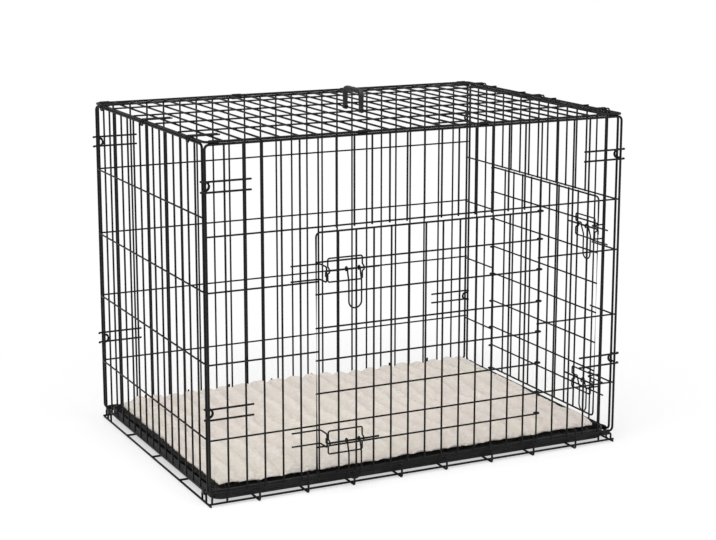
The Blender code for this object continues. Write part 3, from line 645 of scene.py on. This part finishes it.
def staple_wire(side, jamb, low, high):
    """The catch: two legs along the back of the panel and a nose that stands out through the door."""
    sizes = bpy.context.scene.crate_wires
    near, far = jamb - STAPLE_LEG, jamb + STAPLE_SIDE
    back = -(sizes.frame + sizes.bent) / 2
    path = side.at([near, far, far, far, far, near], [back, back, STAPLE_NOSE, STAPLE_NOSE, back, back],
                   [low, low, low, high, high, high])
    posts = jamb - PITCH * np.arange(2)
    return [wire(path, sizes.bent, side.up + side.along * 0.4, bend=STAPLE_BEND),
            *crossings(side, posts, [low, high], back / 2)]


def sleeve_sheet(place, along, spacing, width):
    """A steel band pressed round two parallel wires, spacing apart, with its ends lapped underneath."""
    along = np.asarray(along, float)
    across = np.cross((0, 0, 1), along)
    radius = SLEEVE_BORE + SLEEVE_WALL / 2
    turn = np.linspace(0, math.pi, 11)
    side_way = np.concatenate([np.cos(turn), -np.cos(turn)]) * radius
    up = np.concatenate([spacing + np.sin(turn) * radius, -np.sin(turn) * radius])
    path = place + side_way[:, None] * across + up[:, None] * np.array([0, 0, 1.0])
    return [strip(path, width, SLEEVE_WALL, along, closed=True)]


def clip_sheet(place):
    """A spring clip on the lid's front wire: a half round over it, and a tail behind the panel's top wire."""
    radius = SLEEVE_BORE + SLEEVE_WALL / 2
    turn = np.linspace(0, math.pi, 13)
    depth = np.concatenate([[radius, radius], np.cos(turn) * radius])
    up = np.concatenate([[-CLIP_DROP, -CLIP_DROP / 2], np.sin(turn) * radius])
    path = PLAN.at(place, LID_HEIGHT + up, depth)
    return [strip(path, SLEEVE_LENGTH, SLEEVE_WALL, (1, 0, 0))]


def end_hook_wires(place, end, outward):
    """A doubled wire that lies on the lid and turns down outside the end panel's top wire."""
    sizes = bpy.context.scene.crate_wires
    half = END_HOOK_WIDTH / 2
    height = LID_HEIGHT + (sizes.frame + sizes.bent) / 2
    outer, inner = end + outward * END_HOOK_OUT, end - outward * END_HOOK_LENGTH
    low = height - END_HOOK_DROP
    path = PLAN.at([inner, outer, outer, outer, outer, inner], [height, height, low, low, height, height],
                   place + np.array([-half, -half, -half, half, half, half]))
    posts = end - outward * np.array([0, PITCH])
    return [wire(path, sizes.bent, (0, 0.3, 1), bend=HOOK_BEND),
            *crossings(PLAN, posts, place + np.array([-half, half]), LID_HEIGHT + sizes.frame / 2)]


def beside_uprights(place):
    """A floor wire's place, moved out from the middle just far enough to clear the nearest upright."""
    nearest = round(place / PITCH) * PITCH
    if abs(place - nearest) >= UPRIGHT_ROOM:
        return place
    return nearest + math.copysign(UPRIGHT_ROOM, place - LENGTH / 2)


def arch_wire(side, bay, span, foot, diameter):
    """A low arch that carries a hinge sleeve of the span: up, along through the sleeve, and down."""
    reach = np.array([-1, -1, 1, 1]) * (span / 2 + ARCH_MARGIN)
    path = side.at((bay + 0.5) * PITCH + reach, 0, [foot, ARCH_HEIGHT, ARCH_HEIGHT, foot])
    return wire(path, diameter, np.cross(side.along, side.up), bend=FLOOR_BEND)


def floor_wires():
    """The welded floor: cross wires on the ground, long wires over them, upturned stubs and hinge arches."""
    sizes = bpy.context.scene.crate_wires
    size = sizes.floor
    rows = np.linspace(0, WIDTH, FLOOR_LONG)
    ends = np.array([-size, LENGTH + size])
    made = [wire(PLAN.at(ends, LONG_HEIGHT, row), size, (0, 0, 1)) for row in rows]
    crosses = [beside_uprights(LENGTH / 2 + (index - (FLOOR_CROSS - 1) / 2) * FLOOR_PITCH)
               for index in range(FLOOR_CROSS)]
    front, back = -STUB_FORWARD, WIDTH + STUB_FORWARD
    for place in crosses:
        under_door = FRONT_DOOR_BAYS[0] * PITCH - DOOR_OVERLAP < place < FRONT_DOOR_BAYS[1] * PITCH
        top = LOW_STUB_HEIGHT if under_door else STUB_HEIGHT
        path = PLAN.at(place, [top, CROSS_HEIGHT, CROSS_HEIGHT, BACK_STUB_HEIGHT],
                       [front + STUB_LEAN, front, back, back - STUB_LEAN])
        made.append(wire(path, size, (1, 0, 0), bend=FLOOR_BEND))
    for place in (0.0, LENGTH):
        made.append(wire(PLAN.at(place, CROSS_HEIGHT, [-size, WIDTH + size]), size, (0, 0, 1)))
    for side, bays, span, foot in FLOOR_SLEEVES.values():
        made += [arch_wire(side, bay, span, foot, size) for bay in bays]
    posts = [0.0] + crosses + [LENGTH]
    return made + crossings(PLAN, posts, rows, (CROSS_HEIGHT + LONG_HEIGHT) / 2, FLOOR_BEAD_SHAPE)


def rounded_plan(inset, radius, steps):
    """A rounded rectangle in the crate's plan: corner centre + radius (cos a, sin a) at each corner."""
    turn = np.radians(np.linspace(0, 90, steps + 1))[None] + np.radians([[0], [90], [180], [270]])
    reach = np.array([[1, 1], [-1, 1], [-1, -1], [1, -1]]) * (PLAN_HALF - inset - radius)
    around = stacked(np.cos(turn), np.sin(turn)) * radius
    return (reach[:, None] + around + PLAN_HALF).reshape(-1, 2)


def carried_round(profile, base, outer, radius, least_radius, steps):
    """A rounded rectangle at each inset and height of the profile. Its corners tighten as it shrinks."""
    rings = []
    for inset, height in profile:
        outline = rounded_plan(inset, max(radius - (inset - outer), least_radius), steps)
        rings.append(PLAN.at(outline[:, 0], base + height, outline[:, 1]))
    return loft(rings)


def tray_shell():
    """A moulded tray: one outline carried along its profile, from under the floor round the rim and in."""
    settings = bpy.context.scene.crate_tray
    low, high = TRAY_LOW[2], TRAY_HIGH[2]
    wall = TRAY_GAP + settings.lip
    foot = wall + settings.draft
    rise = high - low
    rib = settings.rib
    profile = [(MIDDLE_INSET, 0.0), (foot + 0.004, 0.0), (foot + 0.001, 0.0006), (foot, 0.0020)]
    for step in np.arange(1, settings.ribs + 1) / (settings.ribs + 1):
        inset = foot - settings.draft * step
        height = 0.002 + (rise - settings.lip_height - 0.003) * step
        profile += [(inset, height - rib), (inset - rib * 0.8, height - rib * 0.45),
                    (inset - rib * 0.8, height + rib * 0.45), (inset, height + rib)]
    under = rise - settings.lip_height
    inner = wall + settings.wall
    inner_foot = foot + settings.wall
    rim = [(wall, under - 0.0006), (wall - 0.0006, under), (TRAY_GAP + 0.0007, under),
           (TRAY_GAP, under + 0.0008), (TRAY_GAP, rise - 0.0016), (TRAY_GAP + 0.0005, rise - 0.0005),
           (TRAY_GAP + 0.0016, rise), (inner - 0.0012, rise), (inner - 0.0003, rise - 0.0004)]
    inside = [(inner, rise - 0.0014), (inner_foot - 0.0003, 0.0045), (inner_foot + 0.0006, 0.0030),
              (inner_foot + 0.002, TRAY_FLOOR)]
    groove = [(foot + 0.016, TRAY_FLOOR), (foot + 0.018, GROOVE_FLOOR), (foot + 0.026, GROOVE_FLOOR),
              (foot + 0.028, TRAY_FLOOR), (MIDDLE_INSET, TRAY_FLOOR)]
    return [carried_round(profile + rim + inside + groove, low, TRAY_GAP, TRAY_RADIUS, TRAY_LEAST_RADIUS, 10)]


def handle_grip():
    """The carrying handle: an oval carried over the arch, fuller at the grip, with a ring at each foot."""
    settings = bpy.context.scene.crate_tray
    low, high = (np.array(corner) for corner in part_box("carry_handle"))
    middle = (low + high) / 2 - CORNER
    half_span = settings.handle_span / 2
    top, foot = high[2] - settings.handle_grip / 2, LID_HEIGHT
    ends = middle[1] + np.array([-half_span, half_span])
    arch = bent(PLAN.at(middle[0], [foot, top, top, foot], ends[[0, 0, 1, 1]]), HANDLE_BEND, steps=12)
    count = len(arch) // 2
    grip = PLAN.at(middle[0], top, middle[1] + np.linspace(-1, 1, 25)[1:-1] * (half_span - HANDLE_BEND))
    depths = np.array([[0.0], [0.3], [0.6]])
    path = np.concatenate([arch[0] + (arch[1] - arch[0]) * depths, arch[1:count], grip, arch[count:-1],
                           arch[-1] + (arch[-2] - arch[-1]) * depths[::-1]])
    rise = (path[:, 2] - foot) / (top - foot)
    knuckles = np.cos((path[:, 1] - CORNER[1] - middle[1]) / half_span * 4 * math.pi) * (rise > 0.98)
    scale = 0.80 + 0.18 * np.clip(rise, 0, 1) ** 2 + KNUCKLE * knuckles
    section = oval(settings.handle_grip / 2 * 1.05, settings.handle_grip / 2, 28, power=0.75)
    turn = np.linspace(0, 2 * math.pi, 33)[:-1]
    out, up = middle[0] + HANDLE_FOOT_RADIUS * np.cos(turn), foot + HANDLE_FOOT_RADIUS * np.sin(turn)
    return [swept(path, section, (1, 0, 0), scale=scale)] + [
        strip(PLAN.at(out, up, end), HANDLE_FOOT_WIDTH, HANDLE_FOOT_WALL, (0, 1, 0), closed=True)
        for end in ends]


def eased(share):
    """3t^2 - 2t^3: from 0 to 1, level at both ends."""
    return share * share * (3 - 2 * share)


def hashed(cells, seed):
    """A number from 0 to 1 for each lattice cell, mixed from its three whole numbers and the seed."""
    x, y, z = (cells[..., k].astype(np.int64).astype(np.uint32) for k in range(3))
    mixed = x * np.uint32(374761393) + y * np.uint32(668265263) + z * np.uint32(2246822519)
    mixed = mixed + np.uint32(seed * 97)
    mixed = (mixed ^ (mixed >> np.uint32(13))) * np.uint32(1274126177)
    mixed = mixed ^ (mixed >> np.uint32(16))
    return mixed.astype(float) / 2 ** 32


def drift(points, size, seed):
    """Smooth noise from 0 to 1: lattice values, eased between the eight corners of a cell."""
    spots = points / size
    cell = np.floor(spots)
    blend = eased(spots - cell)
    total = 0.0
    for corner in np.ndindex(2, 2, 2):
        share = np.where(np.array(corner), blend, 1 - blend).prod(-1)
        total = total + share * hashed(cell + corner, seed)
    return total


def nearest_seed(points, size, seed):
    """Distance, in cells, to the nearest of the seeds scattered one to a cell, from which curls grow."""
    spots = points / size
    cell = np.floor(spots)
    best = np.full(len(points), 9.0)
    for step in np.ndindex(3, 3, 3):
        home = cell + step - 1
        seeds = home + np.stack([hashed(home, seed + k) for k in range(3)], -1)
        best = np.minimum(best, np.linalg.norm(spots - seeds, axis=-1))
    return best


def vectors(mesh, kind):
    """The places of the mesh's points ("co") or the ways they face ("normal"), a row for each."""
    found = np.zeros(len(mesh.vertices) * 3, np.float32)
    mesh.vertices.foreach_get(kind, found)
    return found.reshape(-1, 3).astype(float)


def move_points(mesh, points):
    mesh.vertices.foreach_set("co", points.astype(np.float32).ravel())
    mesh.update()


def settle(piece):
    """Its modifiers' result becomes its mesh."""
    result = bpy.data.meshes.new_from_object(piece.evaluated_get(bpy.context.evaluated_depsgraph_get()))
    piece.modifiers.clear()
    piece.data = result


def puff(piece, pressure, cap):
    """Cloth filled by inner pressure for 20 frames. No point travels further than the cap."""
    start = vectors(piece.data, "co")
    cloth = piece.modifiers.new("Filling", "CLOTH")
    cloth.settings.use_pressure = True
    cloth.settings.uniform_pressure_force = pressure
    cloth.settings.effector_weights.gravity = 0
    for number in range(1, 21):
        bpy.context.scene.frame_set(number)
    settle(piece)
    bpy.context.scene.frame_set(1)
    travel = vectors(piece.data, "co") - start
    distance = np.linalg.norm(travel, axis=-1, keepdims=True)
    move_points(piece.data, start + travel * np.minimum(1, cap / np.maximum(distance, 1e-9)))


def pad_slab(shrink):
    """The unfilled pad: its outline carried up a rounded side and in over a slight crown."""
    low, high = PAD_LOW[2] + shrink * 0.2, PAD_HIGH[2] - shrink
    outer = PAD_INSET + shrink
    turn = np.linspace(-math.pi / 2, math.pi / 2, 9)
    profile = [(outer + PAD_SIDE * 3, low)]
    profile += [(outer + PAD_SIDE * (1 - c), low + (high - low) * 0.46 * (1 + s))
                for c, s in zip(np.cos(turn), np.sin(turn))]
    profile += [(outer + inset, low + (high - low) * share)
                for inset, share in ((0.035, 0.95), (0.060, 0.98), (MIDDLE_INSET, 1.0))]
    return carried_round(profile, 0.0, PAD_INSET, PAD_RADIUS, PAD_LEAST_RADIUS, 8)


def shape_pad(piece):
    """Soft ridges from front to back, a pinched edge, slow hollows on top, and curls of pile all over.

    A ridge is |sin(pi x / spacing)| and its valley (1 - ridge) ^ 1.2, where x sways a little along the ridge.
    """
    settings = bpy.context.scene.crate_pad
    mesh = piece.data
    points = vectors(mesh, "co")
    middle = PLAN_HALF + CORNER[:2]
    core_half = PLAN_HALF - PAD_INSET - PAD_RADIUS
    away = points[:, :2] - middle
    core = np.clip(away, -core_half, core_half)
    reach = np.linalg.norm(away - core, axis=-1)
    outward = (away - core) / np.maximum(reach, 1e-6)[:, None]
    to_end, to_front = abs(outward).T
    edge = np.clip((reach - PAD_RADIUS * 0.15) / (PAD_RADIUS * 0.35), 0, 1)
    rim = np.concatenate([middle + core + outward * PAD_RADIUS, np.zeros((len(points), 1))], -1)
    fold = 1 - abs(2 * drift(rim, settings.scallop_length, FOLD_SEED) - 1)
    sway = (drift(points * [0.4, 1, 0.1], SWAY_SIZE, SWAY_SEED) - 0.5) * settings.ridge_spacing * 0.5
    ridge = abs(np.sin((points[:, 0] - CORNER[0] + sway) * math.pi / settings.ridge_spacing))
    valley = (1 - ridge) ** 1.2
    pinch = np.maximum(np.clip(fold, 0, 1) ** 2 * to_end, valley * to_front) * edge
    points[:, :2] -= outward * (pinch * settings.scallop_depth)[:, None]
    wave = drift(rim, settings.scallop_length * 0.8, WAVE_SEED)
    seam = PAD_LOW[2] + settings.seam_height + settings.seam_wave * (wave * 0.4 + valley * to_front * 0.6)
    under_seam = seam - points[:, 2]
    below = eased(np.clip(under_seam * edge / SEAM_SOFTNESS, 0, 1))
    points[:, :2] -= outward * (below * settings.seam_depth)[:, None]
    thick = np.clip((points[:, 2] - PAD_LOW[2]) / (PAD_HIGH[2] - PAD_LOW[2]), 0, 1)
    broad, small = (drift(points * [1, 1, 0.2], size, seed) - 0.5
                    for size, seed in zip((HOLLOW_SIZE, DIMPLE_SIZE), HOLLOW_SEEDS))
    hollow = broad + 0.5 * small
    points[:, 2] += thick * (hollow * settings.hollow_depth - pinch * settings.scallop_depth * 0.7
                             - valley * (1 - edge) * settings.ridge_depth)
    move_points(mesh, points)
    warp = np.stack([drift(points, WARP_SIZE, seed) for seed in WARP_SEEDS], -1) * WARP_REACH
    near = nearest_seed(points + warp, settings.tuft_size, CURL_SEED)
    tuft = np.clip(1.1 - near * 1.25, 0, 1)
    under = np.clip((points[:, 2] - PAD_LOW[2]) / 0.006, 0, 1)
    points = points + vectors(mesh, "normal") * ((tuft - 0.5) * settings.tuft_height * under)[:, None]
    points[:, 2] = np.maximum(points[:, 2], PAD_LOW[2])
    move_points(mesh, points)
    # The tuft mark is lowered in the ridges' valleys, which paints shade there.
    mark(mesh, "tuft", tuft * (1 - valley * 0.85))
    # under_seam tells the material where to paint the near-black shadow below the seam.
    mark(mesh, "under_seam", under_seam)


def number(name, description, default, **options):
    return FloatProperty(name=name, description=description, default=default, **options)


def metres(name, description, default):
    return number(name, description, default, min=0.0, unit="LENGTH", precision=4)


def paint(name, description, default):
    return FloatVectorProperty(name=name, description=description, default=default, size=4, min=0.0, max=1.0,
                               subtype="COLOR")


class CrateWires(bpy.types.PropertyGroup):
    """Diameters, welds and colours of the wire."""

    frame: metres("Edge wire", "Diameter of the panels' edge wires", 0.0056)
    jamb: metres("Jamb", "Diameter of the wires beside the doorways", 0.0040)
    upright: metres("Upright", "Diameter of the upright wires", 0.0045)
    row: metres("Row", "Diameter of the level wires", 0.0040)
    door: metres("Door edge", "Diameter of the doors' edge wires", 0.0044)
    floor: metres("Floor wire", "Diameter of the floor grid's wires", 0.0049)
    bent: metres("Bent wire", "Diameter of the lid's hooks, plates, pulls and staples", 0.0037)
    bolt: metres("Bolt", "Diameter of the bolts", 0.0045)
    bar: metres("Corner bar", "Diameter of the doubled corner bars", 0.0046)
    hook: metres("C hook", "Diameter of the C hooks", 0.0056)
    weld_size: metres("Weld", "Half the length of a weld bead", 0.0027)
    weld_depth: metres("Weld depth", "How far a row sinks into an upright", 0.0004)
    colour: paint("Coat", "Colour of the coat", (0.0040, 0.0040, 0.0043, 1.0))
    worn_colour: paint("Thin coat", "Colour where the coat is thin", (0.012, 0.0115, 0.011, 1.0))


class CrateTray(bpy.types.PropertyGroup):
    """Sizes and colour of the moulded tray and the carrying handle."""

    wall: metres("Wall", "Thickness of the tray's wall", 0.0022)
    lip: metres("Lip", "Width of the rim's lip", 0.002)
    lip_height: metres("Lip height", "Height of the rim's lip", 0.005)
    draft: metres("Draft", "How far the wall leans in to its foot", 0.0015)
    rib: metres("Rib", "Half the height of a rib on the wall", 0.0013)
    ribs: IntProperty(name="Ribs", description="Level ribs round the wall", default=3, min=0)
    handle_span: metres("Handle", "Distance between the handle's feet", 0.086)
    handle_grip: metres("Grip", "Thickness of the handle's grip", 0.013)
    colour: paint("Plastic", "Colour of the plastic", (0.0110, 0.0110, 0.0115, 1.0))


class CratePad(bpy.types.PropertyGroup):
    """Filling, pile and colours of the fleece pad."""

    voxel: metres("Mesh size", "Edge of the voxels that the cloth is made of", 0.006)
    pressure: number("Pressure", "Inner pressure of the filling", 4.0, min=0.0)
    swell: metres("Swell", "How far the cloth may travel as it fills", 0.009)
    fill: number("Fill", "From 0, slack, to 1, tight", 0.6, min=0.0, max=1.0, subtype="FACTOR")
    tuft_size: metres("Curl size", "Distance between curls of pile", 0.0115)
    tuft_height: metres("Curl height", "Height of a curl of pile", 0.0032)
    scallop_length: metres("Scallop", "Distance between pinches round the edge", 0.030)
    scallop_depth: metres("Scallop depth", "How deep the edge is pinched", 0.0055)
    seam_height: metres("Seam", "Height of the seam under the rounded side", 0.0238)
    seam_wave: metres("Seam wave", "How far the seam rises and falls", 0.007)
    seam_depth: metres("Seam depth", "How far the pad draws in below its seam", 0.020)
    ridge_spacing: metres("Ridges", "Distance between the ridges on top", 0.0465)
    ridge_depth: metres("Ridge depth", "Depth of the valleys between the ridges", 0.013)
    hollow_depth: metres("Hollows", "Depth of the slow hollows on top", 0.011)
    tip_colour: paint("Tips", "Colour of the pile's tips", (0.80, 0.755, 0.705, 1.0))
    # Partly painted shade: the pile's own root tone, also painted into the valleys between the ridges.
    root_and_shade_colour: paint("Roots", "Colour between the curls", (0.60, 0.545, 0.49, 1.0))
    straw_colour: paint("Straw", "Yellower patches", (0.67, 0.62, 0.51, 1.0))
    # Painted shadow: this near-black colour stands in for the shadowed gap below the pad's seam, above the
    # tray's rim.
    painted_seam_shadow_colour: paint("Seam shade", "Colour of the pile pressed in below the seam",
                       (0.012, 0.011, 0.010, 1.0))
    rose_colour: paint("Rose", "Pinker patches", (0.66, 0.585, 0.545, 1.0))


class CrateStage(bpy.types.PropertyGroup):
    """Camera, lamps and floor."""

    lens: number("Lens", "Focal length on a 36 mm sensor, in millimetres", 88.42)
    drop: number("Shift", "Downward shift of the view", -0.0480)
    camera: FloatVectorProperty(name="Camera", description="Place of the camera", unit="LENGTH",
                                default=(-1.8486, -3.75064, 1.33888))
    heading: number("Heading", "Turn of the view to the right", 0.4576, unit="ROTATION")
    tilt: number("Tilt", "Tilt of the view below level", 0.2000, unit="ROTATION")
    roll: number("Roll", "Roll of the camera", 0.0005, unit="ROTATION")
    lamp_power: number("Lamps", "Power of the main lamp", 95.0, unit="POWER")
    sky: number("Sky", "Strength of the light from all round", 0.55)
    floor_colour: paint("Floor", "Colour of the floor", (0.86, 0.86, 0.86, 1.0))
    floor_reach: metres("Floor reach", "Half the width of the floor", 12.0)


class CRATE_OT_panels(bpy.types.Operator):
    """Make the four walls and the lid"""

    bl_idname = "crate.panels"
    bl_label = "Wire panels"

    def execute(self, context):
        add_wires("front_panel", panel_wires(FRONT, LONG_BAYS, PANEL_BOTTOM, PANEL_TOP, JAMB_ROWS, -1,
                                             FRONT_DOOR_BAYS) + corner_bars(FRONT))
        add_wires("back_panel", panel_wires(BACK, LONG_BAYS, PANEL_BOTTOM, PANEL_TOP, PLAIN_ROWS, -1)
                  + corner_bars(BACK))
        add_wires("left_end_panel", panel_wires(LEFT, END_BAYS, PANEL_BOTTOM, PANEL_TOP, PLAIN_ROWS, 1))
        add_wires("right_end_panel", panel_wires(RIGHT, END_BAYS, PANEL_BOTTOM, PANEL_TOP, JAMB_ROWS, -1,
                                                 END_DOOR_BAYS))
        lid_rows = np.linspace(0, WIDTH, LID_ROWS + 2)[1:-1]
        add_wires("top_panel", panel_wires(LID, LONG_BAYS, 0, WIDTH, lid_rows, 1, overhang=LID_OVERHANG))
        return {"FINISHED"}


class CRATE_OT_doors(bpy.types.Operator):
    """Make the front door and the end door"""

    bl_idname = "crate.doors"
    bl_label = "Doors"

    def execute(self, context):
        add_wires("front_door", door_wires(FRONT, FRONT_DOOR_BAYS))
        add_wires("end_door", door_wires(RIGHT, END_DOOR_BAYS))
        return {"FINISHED"}


class CRATE_OT_latches(bpy.types.Operator):
    """Make the slide-bolt latches, two on each door"""

    bl_idname = "crate.latches"
    bl_label = "Latches"

    def execute(self, context):
        for door, side, bays in (("front", FRONT, FRONT_DOOR_BAYS), ("end", RIGHT, END_DOOR_BAYS)):
            jamb = bays[0] * PITCH
            for level, (bolt, low, high) in LATCHES.items():
                title = f"{door}_{level}_latch_"
                tip = -BOLT_TIP if level == "upper" else BOLT_TIP
                add_wires(title + "plate", plate_wire(side, jamb, bolt))
                add_wires(title + "bolt", bolt_wire(side, jamb, bolt, tip))
                add_wires(title + "pull", pull_wire(side, jamb, bolt))
                add_wires(title + "staple", staple_wire(side, jamb, low, high))
        return {"FINISHED"}


class CRATE_OT_hinges(bpy.types.Operator):
    """Make the hinge sleeves, the lid's clips and its end hooks"""

    bl_idname = "crate.hinges"
    bl_label = "Hinges and hooks"

    def execute(self, context):
        for order, bay in enumerate(SLEEVE_BAYS, 1):
            place = (bay + 0.5) * PITCH
            add_wires(f"front_lid_clip_{order}", clip_sheet(place))
            lower = BACK.at(place, 0, PANEL_TOP)
            band = sleeve_sheet(lower, (1, 0, 0), LID_HEIGHT - PANEL_TOP, SLEEVE_LENGTH)
            add_wires(f"back_lid_sleeve_{order}", band)
        for name, (side, bays, span, _) in FLOOR_SLEEVES.items():
            for order, bay in enumerate(bays, 1):
                lower = side.at((bay + 0.5) * PITCH, 0, ARCH_HEIGHT)
                band = sleeve_sheet(lower, side.along, PANEL_BOTTOM - ARCH_HEIGHT, span)
                add_wires(f"{name}_floor_sleeve_{order}", band)
        for end, side in (("left", LEFT), ("right", RIGHT)):
            for corner, edge, turn in (("front", 0.0, -1), ("back", END_WIDTH, 1)):
                for level, height in HOOK_HEIGHTS.items():
                    add_wires(f"{end}_{corner}_{level}_hook", corner_hook(side, edge, turn, height))
        for order, offset in enumerate(END_HOOK_OFFSETS, 1):
            add_wires(f"left_lid_hook_{order}", end_hook_wires(WIDTH / 2 + offset, 0.0, -1))
            add_wires(f"right_lid_hook_{order}", end_hook_wires(WIDTH / 2 + offset, LENGTH, 1))
        return {"FINISHED"}


class CRATE_OT_floor_grid(bpy.types.Operator):
    """Make the welded floor grid"""

    bl_idname = "crate.floor_grid"
    bl_label = "Floor grid"

    def execute(self, context):
        add_wires("floor_grid", floor_wires())
        return {"FINISHED"}


class CRATE_OT_mouldings(bpy.types.Operator):
    """Make the tray and the carrying handle"""

    bl_idname = "crate.mouldings"
    bl_label = "Tray and handle"

    def execute(self, context):
        tint = context.scene.crate_tray.colour
        for node, suffix, surfaces, name, grain in (
                ("tray", "shell", tray_shell(), "tray_plastic", 900.0),
                ("carry_handle", "grip", handle_grip(), "handle_plastic", 1500.0)):
            stand_for(node, suffix, surfaces, moulded_plastic(name, tint, grain))
        return {"FINISHED"}


class CRATE_OT_pad(bpy.types.Operator):
    """Make the fleece pad: fill its cloth, then pinch its edge and raise its pile"""

    bl_idname = "crate.pad"
    bl_label = "Fleece pad"

    def execute(self, context):
        settings = context.scene.crate_pad
        pad = add_mesh("fleece_pad_cloth", pad_slab(settings.swell), fleece_cloth(), sharp=180.0)
        remesh = pad.modifiers.new("Even cloth", "REMESH")
        remesh.mode = "VOXEL"
        remesh.voxel_size = settings.voxel
        settle(pad)
        puff(pad, settings.pressure, settings.swell)
        smooth = pad.modifiers.new("Smooth", "SUBSURF")
        smooth.levels = smooth.render_levels = 1
        settle(pad)
        shape_pad(pad)
        pad.data.shade_smooth()
        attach(pad, BODY_OF["fleece_pad"])
        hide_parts("fleece_pad")
        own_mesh(pad)
        return {"FINISHED"}


def soft_lamp(name, place, target, size, power):
    """A square lamp at the place, turned towards the target."""
    data = bpy.data.lights.new(name, "AREA")
    data.shape, data.size, data.energy = "SQUARE", size, power
    lamp = bpy.data.objects.new(name, data)
    aim = np.array(target, float) - np.array(place, float)
    lamp.location = place
    lamp.rotation_euler = (math.acos(-aim[2] / np.linalg.norm(aim)), 0, math.atan2(aim[0], -aim[1]) + math.pi)
    bpy.context.scene.collection.objects.link(lamp)


class CRATE_OT_stage(bpy.types.Operator):
    """Make the floor, the lamps, the white surroundings and the camera"""

    bl_idname = "crate.stage"
    bl_label = "Studio"

    def execute(self, context):
        scene = context.scene
        settings = scene.crate_stage
        finish = Finish(bpy.data.materials.new("studio_floor"))
        rays = finish.node("ShaderNodeLightPath")
        reach = finish.node("ShaderNodeVectorMath", {"operation": "LENGTH"}, {0: finish.place()}, output=1)
        white = finish.node("ShaderNodeMapRange", {"interpolation_type": "SMOOTHSTEP"},
                            {"Value": reach, "From Min": 0.55, "From Max": 1.25, "To Min": 0.55})
        glow = finish.node("ShaderNodeEmission", sockets={"Color": WHITE, "Strength": 1.0})
        matt = finish.node("ShaderNodeBsdfDiffuse", sockets={"Color": tuple(settings.floor_colour)})
        blend = finish.node("ShaderNodeMixShader", sockets={0: rays * white, 1: matt, 2: glow})
        finish.fill(finish.tree.nodes["Material Output"], {"Surface": blend})
        corners = np.array([[-1, -1, 0], [1, -1, 0], [1, 1, 0], [-1, 1, 0]])
        ground = Surface(corners * settings.floor_reach, [[0, 1, 2, 3]])
        floor = add_mesh("studio_floor", ground, finish.owner)
        light = Finish(bpy.data.worlds.new("studio_light"))
        level = light.node("ShaderNodeMapRange", sockets={
            "Value": light.node("ShaderNodeLightPath"), "To Min": settings.sky, "To Max": 1.0})
        light.fill(light.tree.nodes["Background"], {"Color": WHITE, "Strength": level})
        scene.world = light.owner
        scene.view_settings.view_transform = "Standard"
        power = settings.lamp_power
        soft_lamp("overhead", (-0.6, -0.8, 3.4), (0, 0, 0.3), 2.6, power)
        soft_lamp("left_fill", (-3.2, -1.8, 1.8), (0, 0, 0.4), 1.8, power * 0.35)
        soft_lamp("right_fill", (2.6, -2.6, 2.0), (0, 0, 0.4), 1.8, power * 0.30)
        data = bpy.data.cameras.new("view")
        data.sensor_width, data.lens, data.shift_y = SENSOR_WIDTH, settings.lens, settings.drop
        data.clip_start, data.clip_end = 0.05, 60.0
        camera = bpy.data.objects.new("view", data)
        turned = (Matrix.Rotation(-settings.heading, 4, "Z")
                  @ Matrix.Rotation(math.pi / 2 - settings.tilt, 4, "X")
                  @ Matrix.Rotation(settings.roll, 4, "Z"))
        camera.matrix_world = Matrix.Translation(settings.camera) @ turned
        scene.collection.objects.link(camera)
        scene.camera = camera
        return {"FINISHED"}


class CRATE_PT_builder(bpy.types.Panel):
    """Lists the crate's sizes and the operators that make it"""

    bl_label = "Dog crate"
    bl_idname = "CRATE_PT_builder"
    bl_space_type = "VIEW_3D"
    bl_region_type = "UI"
    bl_category = "Crate"

    def draw(self, context):
        for group in GROUPS:
            box = self.layout.box()
            settings = getattr(context.scene, group)
            for name in settings.__annotations__:
                box.prop(settings, name)
        for operator in OPERATORS:
            self.layout.operator(operator.bl_idname)


GROUPS = {"crate_wires": CrateWires, "crate_tray": CrateTray, "crate_pad": CratePad,
          "crate_stage": CrateStage}
OPERATORS = (CRATE_OT_stage, CRATE_OT_floor_grid, CRATE_OT_panels, CRATE_OT_doors, CRATE_OT_latches,
             CRATE_OT_hinges, CRATE_OT_mouldings, CRATE_OT_pad)


def register():
    for name, group in GROUPS.items():
        bpy.utils.register_class(group)
        setattr(bpy.types.Scene, name, PointerProperty(type=group))
    for kind in OPERATORS + (CRATE_PT_builder,):
        bpy.utils.register_class(kind)


def unregister():
    for kind in reversed(OPERATORS + (CRATE_PT_builder,)):
        bpy.utils.unregister_class(kind)
    for name, group in GROUPS.items():
        delattr(bpy.types.Scene, name)
        bpy.utils.unregister_class(group)


def main():
    register()
    for operator in OPERATORS:
        group, name = operator.bl_idname.split(".")
        getattr(getattr(bpy.ops, group), name)()


if __name__ == "__main__":
    main()
